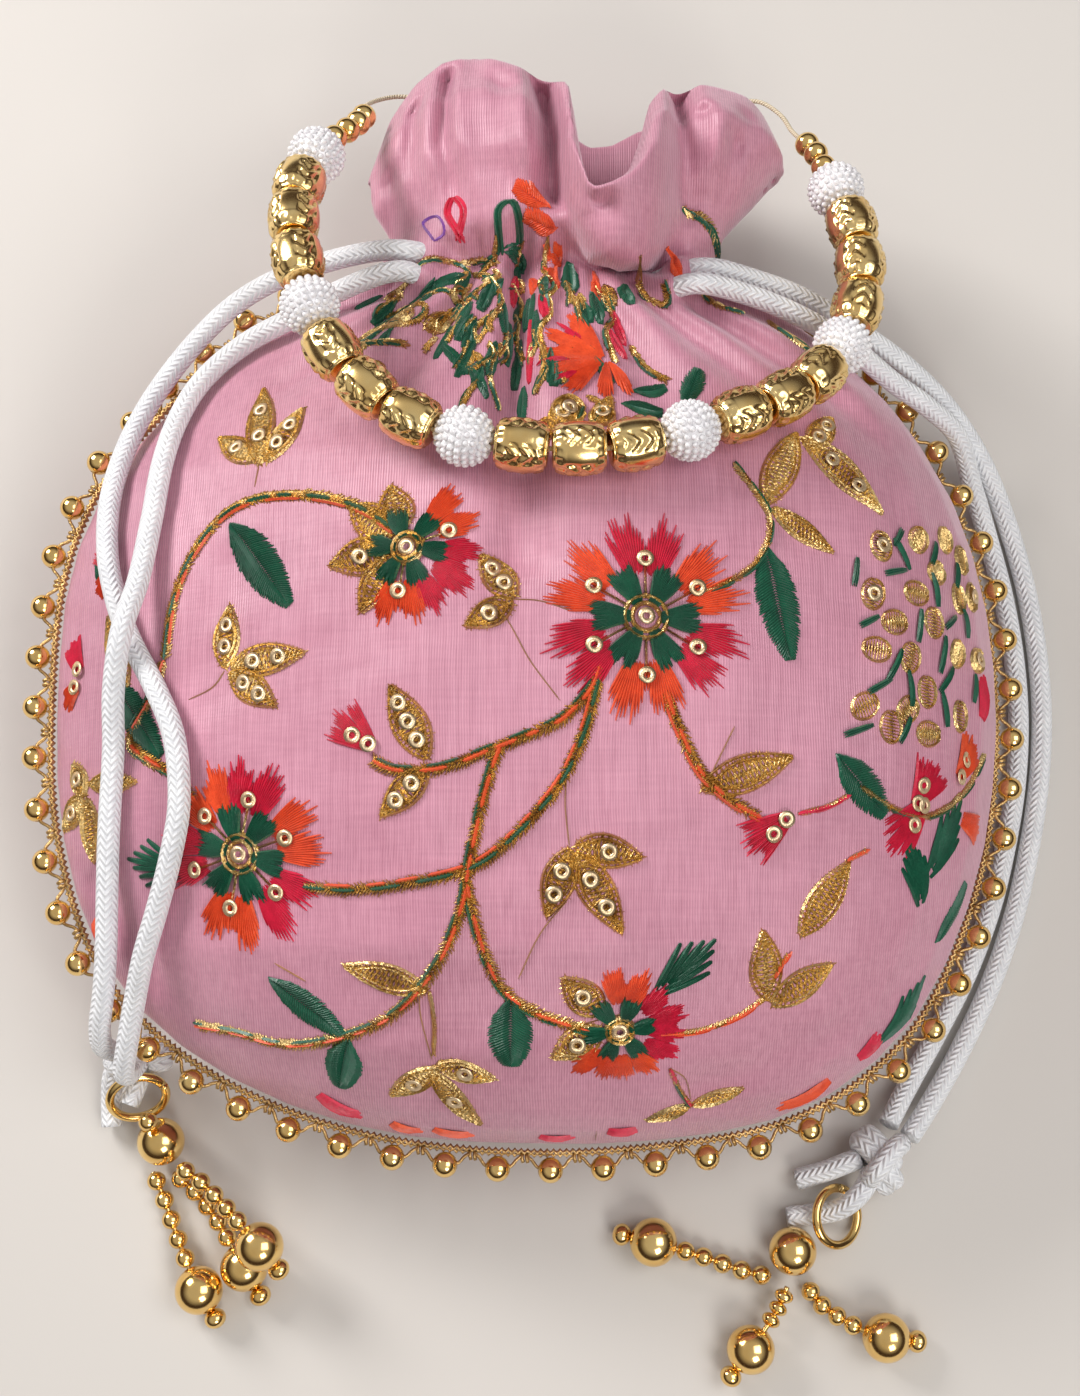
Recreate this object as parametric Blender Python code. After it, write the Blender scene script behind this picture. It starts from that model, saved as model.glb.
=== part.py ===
"""A potli bag: a small drawstring pouch of embroidered cloth, lying on its back.

Metres, +Z up. The origin is the middle of the flat patch that the back rests on. +X is
the right of the front and +Y runs from the round bottom to the frill above the neck.
Places in the lists below are in millimetres and are turned into metres by point().
"""

import math

import bmesh
import bpy
from mathutils import Matrix, Vector

MM = 0.001

# Outline of the bag, from the middle of the bottom seam up each side to the frill's hem.
LEFT_EDGE = [
    (0, -91.5, 21), (-30, -88.5, 22), (-55, -80.5, 24), (-75, -68, 25), (-88, -52, 27),
    (-96, -27, 28), (-98, 0, 28), (-96.5, 25, 28), (-90, 44, 28), (-78, 60, 28),
    (-62, 75, 30), (-44, 84.5, 33), (-29, 91, 35), (-30, 99, 34), (-34, 109, 33),
    (-35.5, 120, 32), (-31, 132, 31),
]
RIGHT_EDGE = [
    (0, -91.5, 21), (28, -90, 20), (50, -86, 18.5), (67, -77.5, 17), (81.5, -63, 15),
    (93, -38, 14), (98, -11, 14), (97.5, 15, 15), (92, 38, 17), (81, 58, 20),
    (66, 73, 25), (50, 83, 30), (37, 91, 35), (41, 99, 34), (48, 109, 33),
    (55, 120, 32), (51, 132, 31),
]
# Height of the crest of the front and of the lowest line of the back, against Y.
FRONT_CREST = [
    (-91, 24), (-88, 37), (-83, 46), (-72, 57), (-52, 67), (-25, 72), (0, 72.5),
    (25, 71), (45, 67), (60, 61), (75, 54), (88, 48), (93, 49), (99, 56),
    (107, 60), (117, 60), (126, 56), (133, 48),
]
BACK_CREST = [
    (-91, 18), (-88, 12), (-81, 6), (-68, 1), (-50, -3), (50, -3), (64, 2), (76, 10),
    (88, 21), (93, 21), (99, 14), (107, 9), (117, 7), (126, 9), (133, 15),
]
# Half the height of the frill's open mouth, against Y.
MOUTH_HALF_GAP = [(-91, 0), (103, 0), (112, 6), (120, 8.5), (133, 9)]
SEAM_THICKNESS = 1.0
PANEL_GAP = 0.3
PANEL_STATIONS = 26
PANEL_COLUMNS = 16
FRONT_LEFT_SHAPE = (2.0, 0.8)
FRONT_RIGHT_SHAPE = (2.6, 0.5)
BACK_SHAPE = (3.0, 0.6)
MOUTH_SHAPE = (4.0, 1.0)

# The seam trim: a braid tape along this share of each edge, with a round bead at every step.
TRIM_REACH = 0.68
TAPE_POINTS = 40
TAPE_INNER = 0.7
TAPE_OUTER = 3.2
TAPE_HALF_HEIGHT = 0.6
TRIM_BEAD_RADIUS = 2.6
TRIM_BEAD_OFFSET = 4.6
TRIM_BEAD_PITCH = 10.4

# Handle: a string sewn to the back of the frill at both ends, threaded through its beads.
HANDLE_ROUTE = [
    (-21, 134.6, 22.5), (-25.5, 137, 22.5), (-30, 137.2, 23), (-34.4, 134.6, 26),
    (-36.6, 130, 31.5), (-35.4, 124.2, 38.8), (-37, 119.8, 43.5), (-39.2, 116, 47.2),
    (-41.6, 112.6, 50.6), (-45.2, 105.6, 54.6), (-46.9, 96.8, 60.4), (-46.8, 86.8, 65),
    (-44.8, 76.4, 67.8), (-42, 66, 69.8), (-36.6, 56.9, 71.4), (-29.4, 49, 72.6),
    (-20.6, 43, 73.8), (-10.3, 40, 74.4), (0.3, 38.2, 74.8), (11.1, 37.8, 74.8),
    (21.8, 39.2, 74), (31.5, 42.8, 72.4), (41, 46.4, 69.8), (50, 51.4, 65.8),
    (57.4, 58.2, 61), (63.2, 66.4, 55.6), (66.8, 76, 52.6), (67.6, 86.4, 50.2),
    (66.4, 97.2, 46.8), (62.9, 109.6, 40.8), (61, 117.6, 36), (59.2, 121.8, 32),
    (57.2, 126.2, 28.5), (55.4, 131, 26), (51.5, 135.2, 24), (47.5, 136, 23),
    (43.5, 134.6, 22.5),
]
# The bare length of string before the first bead.
HANDLE_LEAD = 30.2
HANDLE_BEADS = "ssss" + "pggg" * 5 + "p" + "sss"
BEAD_PITCH = {"s": 5.2, "p": 11.3, "g": 10.8}
BEAD_GAP = 0.7
BEAD_BORE = 1.1
STRING_RADIUS = 0.5
# Half of each bead's outline, as (distance from its middle, radius). Its end is narrower still.
GOLD_OUTLINE = [(0, 5.4), (1.9, 5.3), (3.7, 4.3), (4.3, 2.9)]
PEARL_OUTLINE = [(0, 5.75), (2.5, 5.2), (4.4, 3.7)]
SMALL_OUTLINE = [(0, 2.7), (1.3, 2.35)]
BEAD_SIDES = 8
BEAD_END_SHARE = 0.6

# Drawcords: each side's cord leaves the neck as two strands that end in one knot.
CORD_DIAMETER = 4.4
CORD_STEP = 10.0
LEFT_OUTER_ROUTE = [
    (-26, 91, 44.6), (-33.6, 91.8, 42), (-44.2, 90.2, 39.6), (-54.9, 86.6, 38),
    (-63.5, 81.4, 36.5), (-71.9, 73, 35), (-79.3, 62.5, 34.4), (-84, 51.2, 36.2),
    (-86, 38.4, 40.6), (-85.2, 26, 44.4), (-82.4, 15.6, 47.7), (-78.4, 6.4, 50.6),
    (-72.4, -4, 54.4), (-68, -14, 57), (-66.7, -26, 56.5), (-68.4, -36, 53.8),
    (-71.6, -46, 49), (-75, -54.9, 43.7), (-77.6, -63, 37.4), (-79.8, -71.2, 32.2),
    (-81.6, -76.6, 26), (-81.8, -77, 19.6), (-81, -74.8, 14.8),
]
LEFT_INNER_ROUTE = [
    (-27.5, 85.5, 46.8), (-38.3, 82.8, 44.3), (-48.8, 77, 43.2), (-59, 72.3, 40.6),
    (-67.5, 65, 39.8), (-72, 55.8, 42.4), (-74.2, 44.5, 47), (-75.4, 31, 50.2),
    (-76.8, 18, 53.6), (-79, 7, 56.8), (-80.9, -4, 53), (-81.4, -15, 48.6),
    (-82.2, -30.3, 46), (-82.8, -43, 42.4), (-83.4, -53, 38.6), (-84.4, -61, 34.8),
    (-86, -67.6, 29.6), (-86.8, -71.4, 22.6), (-85.6, -72.6, 14.6),
]
RIGHT_OUTER_ROUTE = [
    (37.4, 86, 46.9), (46.5, 85, 43.5), (57, 82.4, 40), (68, 77.6, 35.5),
    (80, 72.6, 27.5), (91, 66, 18.5), (100, 56.6, 10), (106, 45, 4.6),
    (110, 31, 2.6), (112, 17, 2.4), (112.6, 2, 2.4), (111.4, -13, 2.4),
    (108.6, -28, 2.4), (104.6, -43, 2.4), (98.8, -58, 2.4), (91.6, -72, 2.6),
    (84.4, -83.4, 4), (79.4, -90, 6.4),
]
RIGHT_INNER_ROUTE = [
    (34.5, 81, 51), (44, 80, 48), (54.4, 77, 45), (65.5, 72.9, 39.4),
    (77, 67.2, 31), (85, 63.6, 26), (93, 59.4, 18.4), (98, 51, 9), (102, 41, 3.8),
    (105.2, 28, 2.4), (107, 14, 2.4), (107.4, 0, 2.4), (106.2, -14, 2.4),
    (103.4, -28, 2.4), (99.4, -42, 2.4), (93.6, -56, 2.4), (86.4, -69, 2.6),
    (79.6, -80, 4), (75, -87.4, 6.6),
]
LEFT_KNOT = ((-82.6, -73.2, 8), (7.8, 4.3, 5.2), 0)
RIGHT_KNOT = ((72.6, -94.6, 6.6), (7.2, 5.2, 4.8), 20)
LEFT_TAILS = [
    [(-86.4, -74.2, 6.6), (-88.4, -77.4, 4.4), (-88.9, -82, 2.8), (-88.6, -88, 2.4)],
    [(-82, -75.5, 7.4), (-82.2, -78, 8), (-82.9, -80.6, 8.6), (-83.9, -83.4, 8.8)],
]
RIGHT_TAILS = [
    [(69, -94.4, 6.4), (66, -95.4, 6), (61.5, -97.2, 4.4), (56.2, -98.8, 2.4)],
    [
        (71, -97, 6.8), (69.6, -100, 7.6), (67.2, -102.8, 7), (64.2, -104.9, 4.8),
        (60.4, -105.8, 2.8), (53.8, -106.6, 2.4),
    ],
]

# Split rings: centre, then the directions of two perpendicular radii.
RING_RADIUS = 5.8
RING_WIRE_RADIUS = 1.0
RING_STEPS = 14
RING_SIDES = 6
LEFT_RING = ((-82.2, -81.9, 8), (0.25, -0.62, -0.74), (0.93, 0.37, 0))
RIGHT_RING = ((64, -106.3, 4.6), (-0.82, 0, 0.574), (0, 1, 0))

# Tassels: a ball on the ring, then strings of small beads that end in a ball and a tip.
BALL_RADIUS = 5.0
CAP_RADIUS = 2.0
TIP_RADIUS = 2.3
SMALL_RADIUS = 2.0
# A small bead as (distance from its middle, radius), at the full pitch of one bead.
SMALL_BEAD_OUTLINE = [(-1.85, 0.8), (-1.2, 1.6), (0, SMALL_RADIUS), (1.2, 1.6), (1.85, 0.8)]
FULL_PITCH = 4.0
BALL_CLEARANCE = 0.3
TIP_OVERLAP = 0.4
LEFT_CAP = (-79.2, -86.8, 11.6)
LEFT_TOP_BALL = (-77.6, -91, 5.2)
RIGHT_TOP_BALL = (54.5, -113.2, 5.2)
# For each string: its route from the first small bead, the number of small beads, their pitch.
TASSEL_STRINGS = {
    "left_string_1": (
        [
            (-79.6, -97.4, 2.4), (-77, -103, 2.2), (-73.8, -111, 2.4),
            (-69.4, -119.6, 5.1), (-65.6, -126.4, 3.4),
        ],
        5, 4.3,
    ),
    "left_string_2": (
        [
            (-73.4, -96, 7.8), (-69, -98.6, 8.6), (-63.5, -103.4, 10.2),
            (-57.2, -109.4, 13.8), (-52.6, -115.2, 10.4),
        ],
        5, 4.0,
    ),
    "left_string_3": (
        [
            (-75.2, -97.5, 2.4), (-70.6, -101.4, 2.2), (-66, -106.8, 2.4),
            (-60.8, -114.2, 5.1), (-57, -120.8, 3.6),
        ],
        5, 4.0,
    ),
    "right_string_1": (
        [
            (50.2, -118.4, 2.4), (46, -117.9, 2.3), (36, -114.6, 2.3),
            (27, -111.8, 5.1), (19.8, -110.2, 3.4),
        ],
        5, 4.2,
    ),
    "right_string_2": (
        [(53.2, -120.4, 5), (51.6, -124.2, 4.4), (47.2, -130.4, 5.3), (43, -136, 4.2)],
        3, 2.8,
    ),
    "right_string_3": (
        [(57.2, -120, 2.6), (61.5, -125, 2.2), (70.5, -129.8, 5.1), (78.5, -131.2, 3.4)],
        4, 3.7,
    ),
}


def point(place):
    return Vector(place) * MM


def catmull_rom(a, b, c, d, t):
    """The point at t, from 0 to 1, between b and c on a smooth curve through all four."""
    return 0.5 * (
        2 * b
        + (c - a) * t
        + (2 * a - 5 * b + 4 * c - d) * t * t
        + (3 * b - a - 3 * c + d) * t ** 3
    )


def dense_curve(places, steps=12):
    """Many points on one smooth curve through the places."""
    knots = [point(place) for place in places]
    knots = [2 * knots[0] - knots[1], *knots, 2 * knots[-1] - knots[-2]]
    curve = []
    for a, b, c, d in zip(knots, knots[1:], knots[2:], knots[3:]):
        curve += [catmull_rom(a, b, c, d, step / steps) for step in range(steps)]
    curve.append(knots[-2])
    return curve


def along(curve, distances):
    """The points at these distances along a dense curve, in rising order."""
    found = []
    walked = 0.0
    index = 0
    for distance in distances:
        while index < len(curve) - 2 and walked + (curve[index + 1] - curve[index]).length < distance:
            walked += (curve[index + 1] - curve[index]).length
            index += 1
        step = curve[index + 1] - curve[index]
        found.append(curve[index] + step * ((distance - walked) / step.length))
    return found


def length_of(curve):
    return sum((b - a).length for a, b in zip(curve, curve[1:]))


def evenly(places, count):
    """count points at equal steps along the smooth curve through the places."""
    curve = dense_curve(places)
    step = length_of(curve) / (count - 1)
    return along(curve, [step * index for index in range(count)])


def read_table(table, x):
    """Straight-line reading of a table of (x, value) pairs."""
    for (x0, v0), (x1, v1) in zip(table, table[1:]):
        if x <= x1:
            return v0 + (v1 - v0) * max(x - x0, 0) / (x1 - x0)
    return table[-1][1]


def swell(u, shape):
    """1 in the middle of a section and 0 at its edge, where u is -1 or 1."""
    power, blunt = shape
    return max(1 - abs(u) ** power, 0) ** blunt


def remove_startup_objects():
    for obj in list(bpy.data.objects):
        bpy.data.objects.remove(obj, do_unlink=True)


def new_material(name, colour, roughness, metallic=0.0):
    material = bpy.data.materials.new(name)
    material.use_nodes = True
    shader = material.node_tree.nodes["Principled BSDF"]
    shader.inputs["Base Color"].default_value = (*colour, 1)
    shader.inputs["Roughness"].default_value = roughness
    shader.inputs["Metallic"].default_value = metallic
    return material


def object_from(bm, name, material):
    bmesh.ops.recalc_face_normals(bm, faces=bm.faces)
    mesh = bpy.data.meshes.new(name)
    bm.to_mesh(mesh)
    bm.free()
    mesh.shade_smooth()
    mesh.materials.append(material)
    obj = bpy.data.objects.new(name, mesh)
    bpy.context.scene.collection.objects.link(obj)
    return obj


def slab_between(name, upper, lower, material):
    """A closed solid between two grids of points that match row by row."""
    bm = bmesh.new()
    top = [[bm.verts.new(place) for place in row] for row in upper]
    bottom = [[bm.verts.new(place) for place in row] for row in lower]
    rows, columns = len(top), len(top[0])
    for grid in (top, bottom):
        for i in range(rows - 1):
            for j in range(columns - 1):
                bm.faces.new((grid[i][j], grid[i][j + 1], grid[i + 1][j + 1], grid[i + 1][j]))
    rim = [(0, j) for j in range(columns)]
    rim += [(i, columns - 1) for i in range(1, rows)]
    rim += [(rows - 1, j) for j in range(columns - 2, -1, -1)]
    rim += [(i, 0) for i in range(rows - 2, 0, -1)]
    for (i, j), (k, m) in zip(rim, rim[1:] + rim[:1]):
        bm.faces.new((top[i][j], top[k][m], bottom[k][m], bottom[i][j]))
    return object_from(bm, name, material)


def bag_sections():
    """For each station up the bag: the row of points between the two side seams, in millimetres."""
    left = evenly(LEFT_EDGE, PANEL_STATIONS + 1)[1:]
    right = evenly(RIGHT_EDGE, PANEL_STATIONS + 1)[1:]
    sections = []
    for start, end in zip(left, right):
        row = []
        for column in range(PANEL_COLUMNS + 1):
            u = -math.cos(math.pi * column / PANEL_COLUMNS)
            row.append((u, start.lerp(end, (u + 1) / 2) / MM))
        sections.append(row)
    return sections


def front_height(u, seam):
    crest = read_table(FRONT_CREST, seam.y)
    shape = FRONT_LEFT_SHAPE if u < 0 else FRONT_RIGHT_SHAPE
    return seam.z + SEAM_THICKNESS + (crest - seam.z - SEAM_THICKNESS) * swell(u, shape)


def back_height(u, seam):
    crest = read_table(BACK_CREST, seam.y)
    low = seam.z - SEAM_THICKNESS
    return max(low + (crest - low) * swell(u, BACK_SHAPE), 0)


def mouth_gap(u, seam):
    return PANEL_GAP / 2 + read_table(MOUTH_HALF_GAP, seam.y) * swell(u, MOUTH_SHAPE)


def build_panels(material):
    front_outer, front_inner, back_outer, back_inner = [], [], [], []
    for section in bag_sections():
        rows = ([], [], [], [])
        for u, seam in section:
            gap = mouth_gap(u, seam)
            heights = (
                front_height(u, seam), seam.z + gap, seam.z - gap, back_height(u, seam)
            )
            for row, height in zip(rows, heights):
                row.append(point((seam.x, seam.y, height)))
        front_outer.append(rows[0])
        front_inner.append(rows[1])
        back_inner.append(rows[2])
        back_outer.append(rows[3])
    slab_between("front_panel", front_outer, front_inner, material)
    slab_between("back_panel", back_inner, back_outer, material)


def rings_joined(bm, rings, closed):
    """Skins a row of vertex rings. A ring of one vertex is a pole."""
    pairs = list(zip(rings, rings[1:]))
    if closed:
        pairs.append((rings[-1], rings[0]))
    for a, b in pairs:
        sides = max(len(a), len(b))
        for side in range(sides):
            after = (side + 1) % sides
            corners = [a[side % len(a)], a[after % len(a)], b[after % len(b)], b[side % len(b)]]
            bm.faces.new(list(dict.fromkeys(corners)))


def turned_mesh(name, profile, sides, closed=False):
    """Turns a profile of (height, radius), in millimetres, about the Z axis."""
    bm = bmesh.new()
    rings = []
    for height, radius in profile:
        count = sides if radius > 0 else 1
        angles = [2 * math.pi * side / count for side in range(count)]
        rings.append([
            bm.verts.new(point((radius * math.cos(a), radius * math.sin(a), height)))
            for a in angles
        ])
    rings_joined(bm, rings, closed)
    bmesh.ops.recalc_face_normals(bm, faces=bm.faces)
    mesh = bpy.data.meshes.new(name)
    bm.to_mesh(mesh)
    bm.free()
    mesh.shade_smooth()
    return mesh


def ball_profile(radius, middle=0.0, rings=6):
    """The (height, radius) profile of a ball, from pole to pole."""
    angles = [math.pi * ring / rings for ring in range(rings + 1)]
    return [
        (middle - radius * math.cos(a), radius * math.sin(a) if 0 < a < math.pi else 0)
        for a in angles
    ]


def place(name, mesh, centre, direction, material):
    obj = bpy.data.objects.new(name, mesh)
    obj.location = centre
    obj.rotation_mode = "QUATERNION"
    obj.rotation_quaternion = direction.to_track_quat("Z", "Y")
    bpy.context.scene.collection.objects.link(obj)
    if not mesh.materials:
        mesh.materials.append(material)
    return obj


def tube(name, points, radius, material, radii=None, resolution=2):
    """A curve object with filled caps, on a POLY spline through the points."""
    curve = bpy.data.curves.new(name, "CURVE")
    curve.dimensions = "3D"
    curve.bevel_depth = radius * MM
    curve.bevel_resolution = resolution
    curve.use_fill_caps = True
    spline = curve.splines.new("POLY")
    spline.points.add(len(points) - 1)
    for index, (target, position) in enumerate(zip(spline.points, points)):
        target.co = (*position, 1)
        if radii:
            target.radius = radii[index] / radius
    curve.materials.append(material)
    obj = bpy.data.objects.new(name, curve)
    bpy.context.scene.collection.objects.link(obj)
    return obj


def as_mesh(obj):
    """A mesh object in place of a curve object, for a Boolean."""
    graph = bpy.context.evaluated_depsgraph_get()
    mesh = bpy.data.meshes.new_from_object(obj.evaluated_get(graph))
    bm = bmesh.new()
    bm.from_mesh(mesh)
    bmesh.ops.remove_doubles(bm, verts=bm.verts, dist=1e-6)
    bmesh.ops.recalc_face_normals(bm, faces=bm.faces)
    bm.to_mesh(mesh)
    bm.free()
    name = obj.name
    bpy.data.objects.remove(obj, do_unlink=True)
    solid = bpy.data.objects.new(name, mesh)
    bpy.context.scene.collection.objects.link(solid)
    return solid


def unite(obj, other):
    """Adds another solid to this one. The other stays as a hidden helper."""
    other.hide_render = True
    other.display_type = "WIRE"
    union = obj.modifiers.new("with_" + other.name, "BOOLEAN")
    union.operation = "UNION"
    union.object = other


def seam_line():
    """Points on the seam from the left shoulder round the bottom to the right shoulder."""
    left = dense_curve(LEFT_EDGE)
    right = dense_curve(RIGHT_EDGE)
    left = left[: int(len(left) * TRIM_REACH)]
    right = right[: int(len(right) * TRIM_REACH)]
    return left[:0:-1] + right


def seam_frames(count):
    """Even steps along the seam: each a point and the level direction out of the bag."""
    line = seam_line()
    step = length_of(line) / (count - 1)
    points = along(line, [step * index for index in range(count)])
    frames = []
    for index, here in enumerate(points):
        ahead = points[min(index + 1, count - 1)] - points[max(index - 1, 0)]
        frames.append((here, Vector((-ahead.y, ahead.x, 0)).normalized() * -1))
    return frames


def build_trim(material):
    upper, lower = [], []
    for here, out in seam_frames(TAPE_POINTS):
        row = [here + out * offset * MM for offset in (TAPE_INNER, TAPE_OUTER)]
        upper.append([corner + Vector((0, 0, TAPE_HALF_HEIGHT * MM)) for corner in row])
        lower.append([corner - Vector((0, 0, TAPE_HALF_HEIGHT * MM)) for corner in row])
    tape = slab_between("bead_trim", upper, lower, material)
    bm = bmesh.new()
    bead_count = int(length_of(seam_line()) / MM / TRIM_BEAD_PITCH) + 1
    for here, out in seam_frames(bead_count):
        where = Matrix.Translation(here + out * TRIM_BEAD_OFFSET * MM)
        bmesh.ops.create_uvsphere(
            bm, u_segments=6, v_segments=5, radius=TRIM_BEAD_RADIUS * MM, matrix=where
        )
    beads = object_from(bm, "trim_beads", material)
    unite(tape, beads)


def bead_profile(outline, half_length):
    """A bored bead's closed profile: out along the outline on both sides and back down the bore."""
    half = [*outline, (half_length, outline[-1][1] * BEAD_END_SHARE)]
    outside = [(-x, r) for x, r in reversed(half[1:])] + half
    return [(-half_length, BEAD_BORE), *outside, (half_length, BEAD_BORE)]


def bead_joints():
    """Where each bead of the handle starts and ends along its string."""
    curve = dense_curve(HANDLE_ROUTE)
    pitches = [BEAD_PITCH[kind] * MM for kind in HANDLE_BEADS]
    distances = [HANDLE_LEAD * MM]
    for pitch in pitches:
        distances.append(distances[-1] + pitch)
    return curve, distances, along(curve, distances)


def build_handle(string_material, gold, pearl):
    curve, distances, joints = bead_joints()
    lead = [distances[0] * share / 4 for share in range(4)]
    rest = length_of(curve) - distances[-1]
    follow = [distances[-1] + rest * share / 4 for share in range(1, 5)]
    string = along(curve, lead) + joints + along(curve, follow)
    tube("handle_string", string, STRING_RADIUS, string_material, resolution=1)
    outlines = {"g": GOLD_OUTLINE, "p": PEARL_OUTLINE, "s": SMALL_OUTLINE}
    names = {"g": "gold_bead", "p": "pearl_bead", "s": "spacer_bead"}
    materials = {"g": gold, "p": pearl, "s": gold}
    meshes = {}
    for kind, outline in outlines.items():
        half_length = (BEAD_PITCH[kind] - BEAD_GAP) / 2
        profile = bead_profile(outline, half_length)
        meshes[kind] = turned_mesh(names[kind], profile, BEAD_SIDES, closed=True)
    made = dict.fromkeys(names, 0)
    for kind, start, end in zip(HANDLE_BEADS, joints, joints[1:]):
        made[kind] += 1
        name = f"{names[kind]}_{made[kind]:02d}"
        place(name, meshes[kind], (start + end) / 2, end - start, materials[kind])


def build_cords(material):
    routes = {
        "left_cord_outer": LEFT_OUTER_ROUTE, "left_cord_inner": LEFT_INNER_ROUTE,
        "right_cord_outer": RIGHT_OUTER_ROUTE, "right_cord_inner": RIGHT_INNER_ROUTE,
    }
    for name, route in routes.items():
        curve = dense_curve(route)
        count = round(length_of(curve) / MM / CORD_STEP) + 1
        tube(name, evenly(route, count), CORD_DIAMETER / 2, material)


def build_knot(name, knot, tails, material):
    """A closed knot of both strands, with the two cut ends that stand out of it."""
    centre, half_sizes, turn = knot
    bm = bmesh.new()
    bmesh.ops.create_uvsphere(bm, u_segments=12, v_segments=8, radius=MM)
    shape = Matrix.Rotation(math.radians(turn), 4, "Z") @ Matrix.Diagonal((*half_sizes, 1))
    bmesh.ops.transform(bm, matrix=Matrix.Translation(point(centre)) @ shape, verts=bm.verts)
    body = object_from(bm, name, material)
    for index, route in enumerate(tails):
        count = 2 * len(route) - 1
        end = tube(f"{name}_tail_{index}", evenly(route, count), CORD_DIAMETER / 2, material)
        unite(body, as_mesh(end))


def build_ring(name, ring, material):
    centre, first, second = (Vector(values) for values in ring)
    first.normalize()
    normal = first.cross(second).normalized()
    second = normal.cross(first)
    bm = bmesh.new()
    rings = []
    for step in range(RING_STEPS):
        angle = 2 * math.pi * step / RING_STEPS
        out = first * math.cos(angle) + second * math.sin(angle)
        loop = []
        for side in range(RING_SIDES):
            turn = 2 * math.pi * side / RING_SIDES
            offset = out * (RING_RADIUS + RING_WIRE_RADIUS * math.cos(turn))
            offset += normal * RING_WIRE_RADIUS * math.sin(turn)
            loop.append(bm.verts.new((centre + offset) * MM))
        rings.append(loop)
    rings_joined(bm, rings, closed=True)
    object_from(bm, name, material)


def build_tassel_string(name, route, count, pitch, material):
    """Small beads on a thread as one tube of changing radius, then an end ball with its tip."""
    curve = dense_curve(route)
    squeeze = min(pitch / FULL_PITCH, 1)
    distances, radii = [], []
    for bead in range(count):
        for offset, radius in SMALL_BEAD_OUTLINE:
            distances.append((SMALL_RADIUS + bead * pitch + offset * squeeze) * MM)
            radii.append(radius)
    tube(name, along(curve, distances), SMALL_RADIUS, material, radii)
    string_length = 2 * SMALL_RADIUS + (count - 1) * pitch
    middle = (string_length + BALL_CLEARANCE + BALL_RADIUS) * MM
    ball, beyond = along(curve, [middle, middle + TIP_RADIUS * MM])
    tip_at = BALL_RADIUS + TIP_RADIUS - TIP_OVERLAP
    profile = ball_profile(BALL_RADIUS, rings=8)[:-1]
    profile += ball_profile(TIP_RADIUS, middle=tip_at, rings=5)[1:]
    place(name + "_end_ball", turned_mesh(name, profile, 10), ball, beyond - ball, material)


def build_tassels(gold, wire):
    build_ring("left_ring", LEFT_RING, wire)
    build_ring("right_ring", RIGHT_RING, wire)
    up = Vector((0, 0, 1))
    ball = turned_mesh("top_ball", ball_profile(BALL_RADIUS, rings=8), 10)
    cap = turned_mesh("cap_bead", ball_profile(CAP_RADIUS), BEAD_SIDES)
    place("left_cap_bead", cap, point(LEFT_CAP), up, gold)
    place("left_top_ball", ball, point(LEFT_TOP_BALL), up, gold)
    place("right_top_ball", ball, point(RIGHT_TOP_BALL), up, gold)
    for name, (route, count, pitch) in TASSEL_STRINGS.items():
        build_tassel_string(name, route, count, pitch, gold)


remove_startup_objects()
CLOTH = new_material("pink_dupion", (0.75, 0.33, 0.48), 0.55)
TRIM_GOLD = new_material("trim_gold", (0.52, 0.30, 0.10), 0.35, 1.0)
BEAD_GOLD = new_material("bead_gold", (0.83, 0.55, 0.18), 0.2, 1.0)
PEARL = new_material("pearl_white", (0.88, 0.88, 0.86), 0.15)
CORD = new_material("cord_white", (0.86, 0.87, 0.88), 0.7)
STRING = new_material("string_cream", (0.80, 0.72, 0.55), 0.7)
build_panels(CLOTH)
build_trim(TRIM_GOLD)
build_handle(STRING, BEAD_GOLD, PEARL)
build_cords(CORD)
build_knot("left_knot", LEFT_KNOT, LEFT_TAILS, CORD)
build_knot("right_knot", RIGHT_KNOT, RIGHT_TAILS, CORD)
build_tassels(BEAD_GOLD, TRIM_GOLD)
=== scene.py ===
import math
import random

import bmesh
import bpy
import numpy as np
from mathutils import Matrix, Vector
from mathutils.bvhtree import BVHTree


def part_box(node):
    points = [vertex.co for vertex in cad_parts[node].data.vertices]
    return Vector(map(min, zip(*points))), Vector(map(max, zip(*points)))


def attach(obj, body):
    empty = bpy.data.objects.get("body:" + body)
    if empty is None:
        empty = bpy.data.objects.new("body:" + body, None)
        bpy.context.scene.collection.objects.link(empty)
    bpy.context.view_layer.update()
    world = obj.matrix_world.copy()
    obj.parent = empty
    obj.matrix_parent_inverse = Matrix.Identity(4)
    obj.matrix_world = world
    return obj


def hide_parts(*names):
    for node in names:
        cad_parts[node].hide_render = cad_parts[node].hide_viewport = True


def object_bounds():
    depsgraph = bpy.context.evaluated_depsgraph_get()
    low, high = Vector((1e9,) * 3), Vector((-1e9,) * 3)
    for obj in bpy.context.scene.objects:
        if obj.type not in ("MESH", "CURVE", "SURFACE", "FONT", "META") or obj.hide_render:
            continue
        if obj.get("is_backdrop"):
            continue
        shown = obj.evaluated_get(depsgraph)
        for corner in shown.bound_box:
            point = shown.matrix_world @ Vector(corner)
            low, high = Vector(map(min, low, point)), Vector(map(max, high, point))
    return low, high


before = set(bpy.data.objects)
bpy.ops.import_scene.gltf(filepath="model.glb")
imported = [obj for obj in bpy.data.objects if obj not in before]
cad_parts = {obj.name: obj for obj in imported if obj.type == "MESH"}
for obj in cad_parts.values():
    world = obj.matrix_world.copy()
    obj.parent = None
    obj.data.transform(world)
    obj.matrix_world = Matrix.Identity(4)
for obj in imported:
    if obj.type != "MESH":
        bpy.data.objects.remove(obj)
cad_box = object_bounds()

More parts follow.
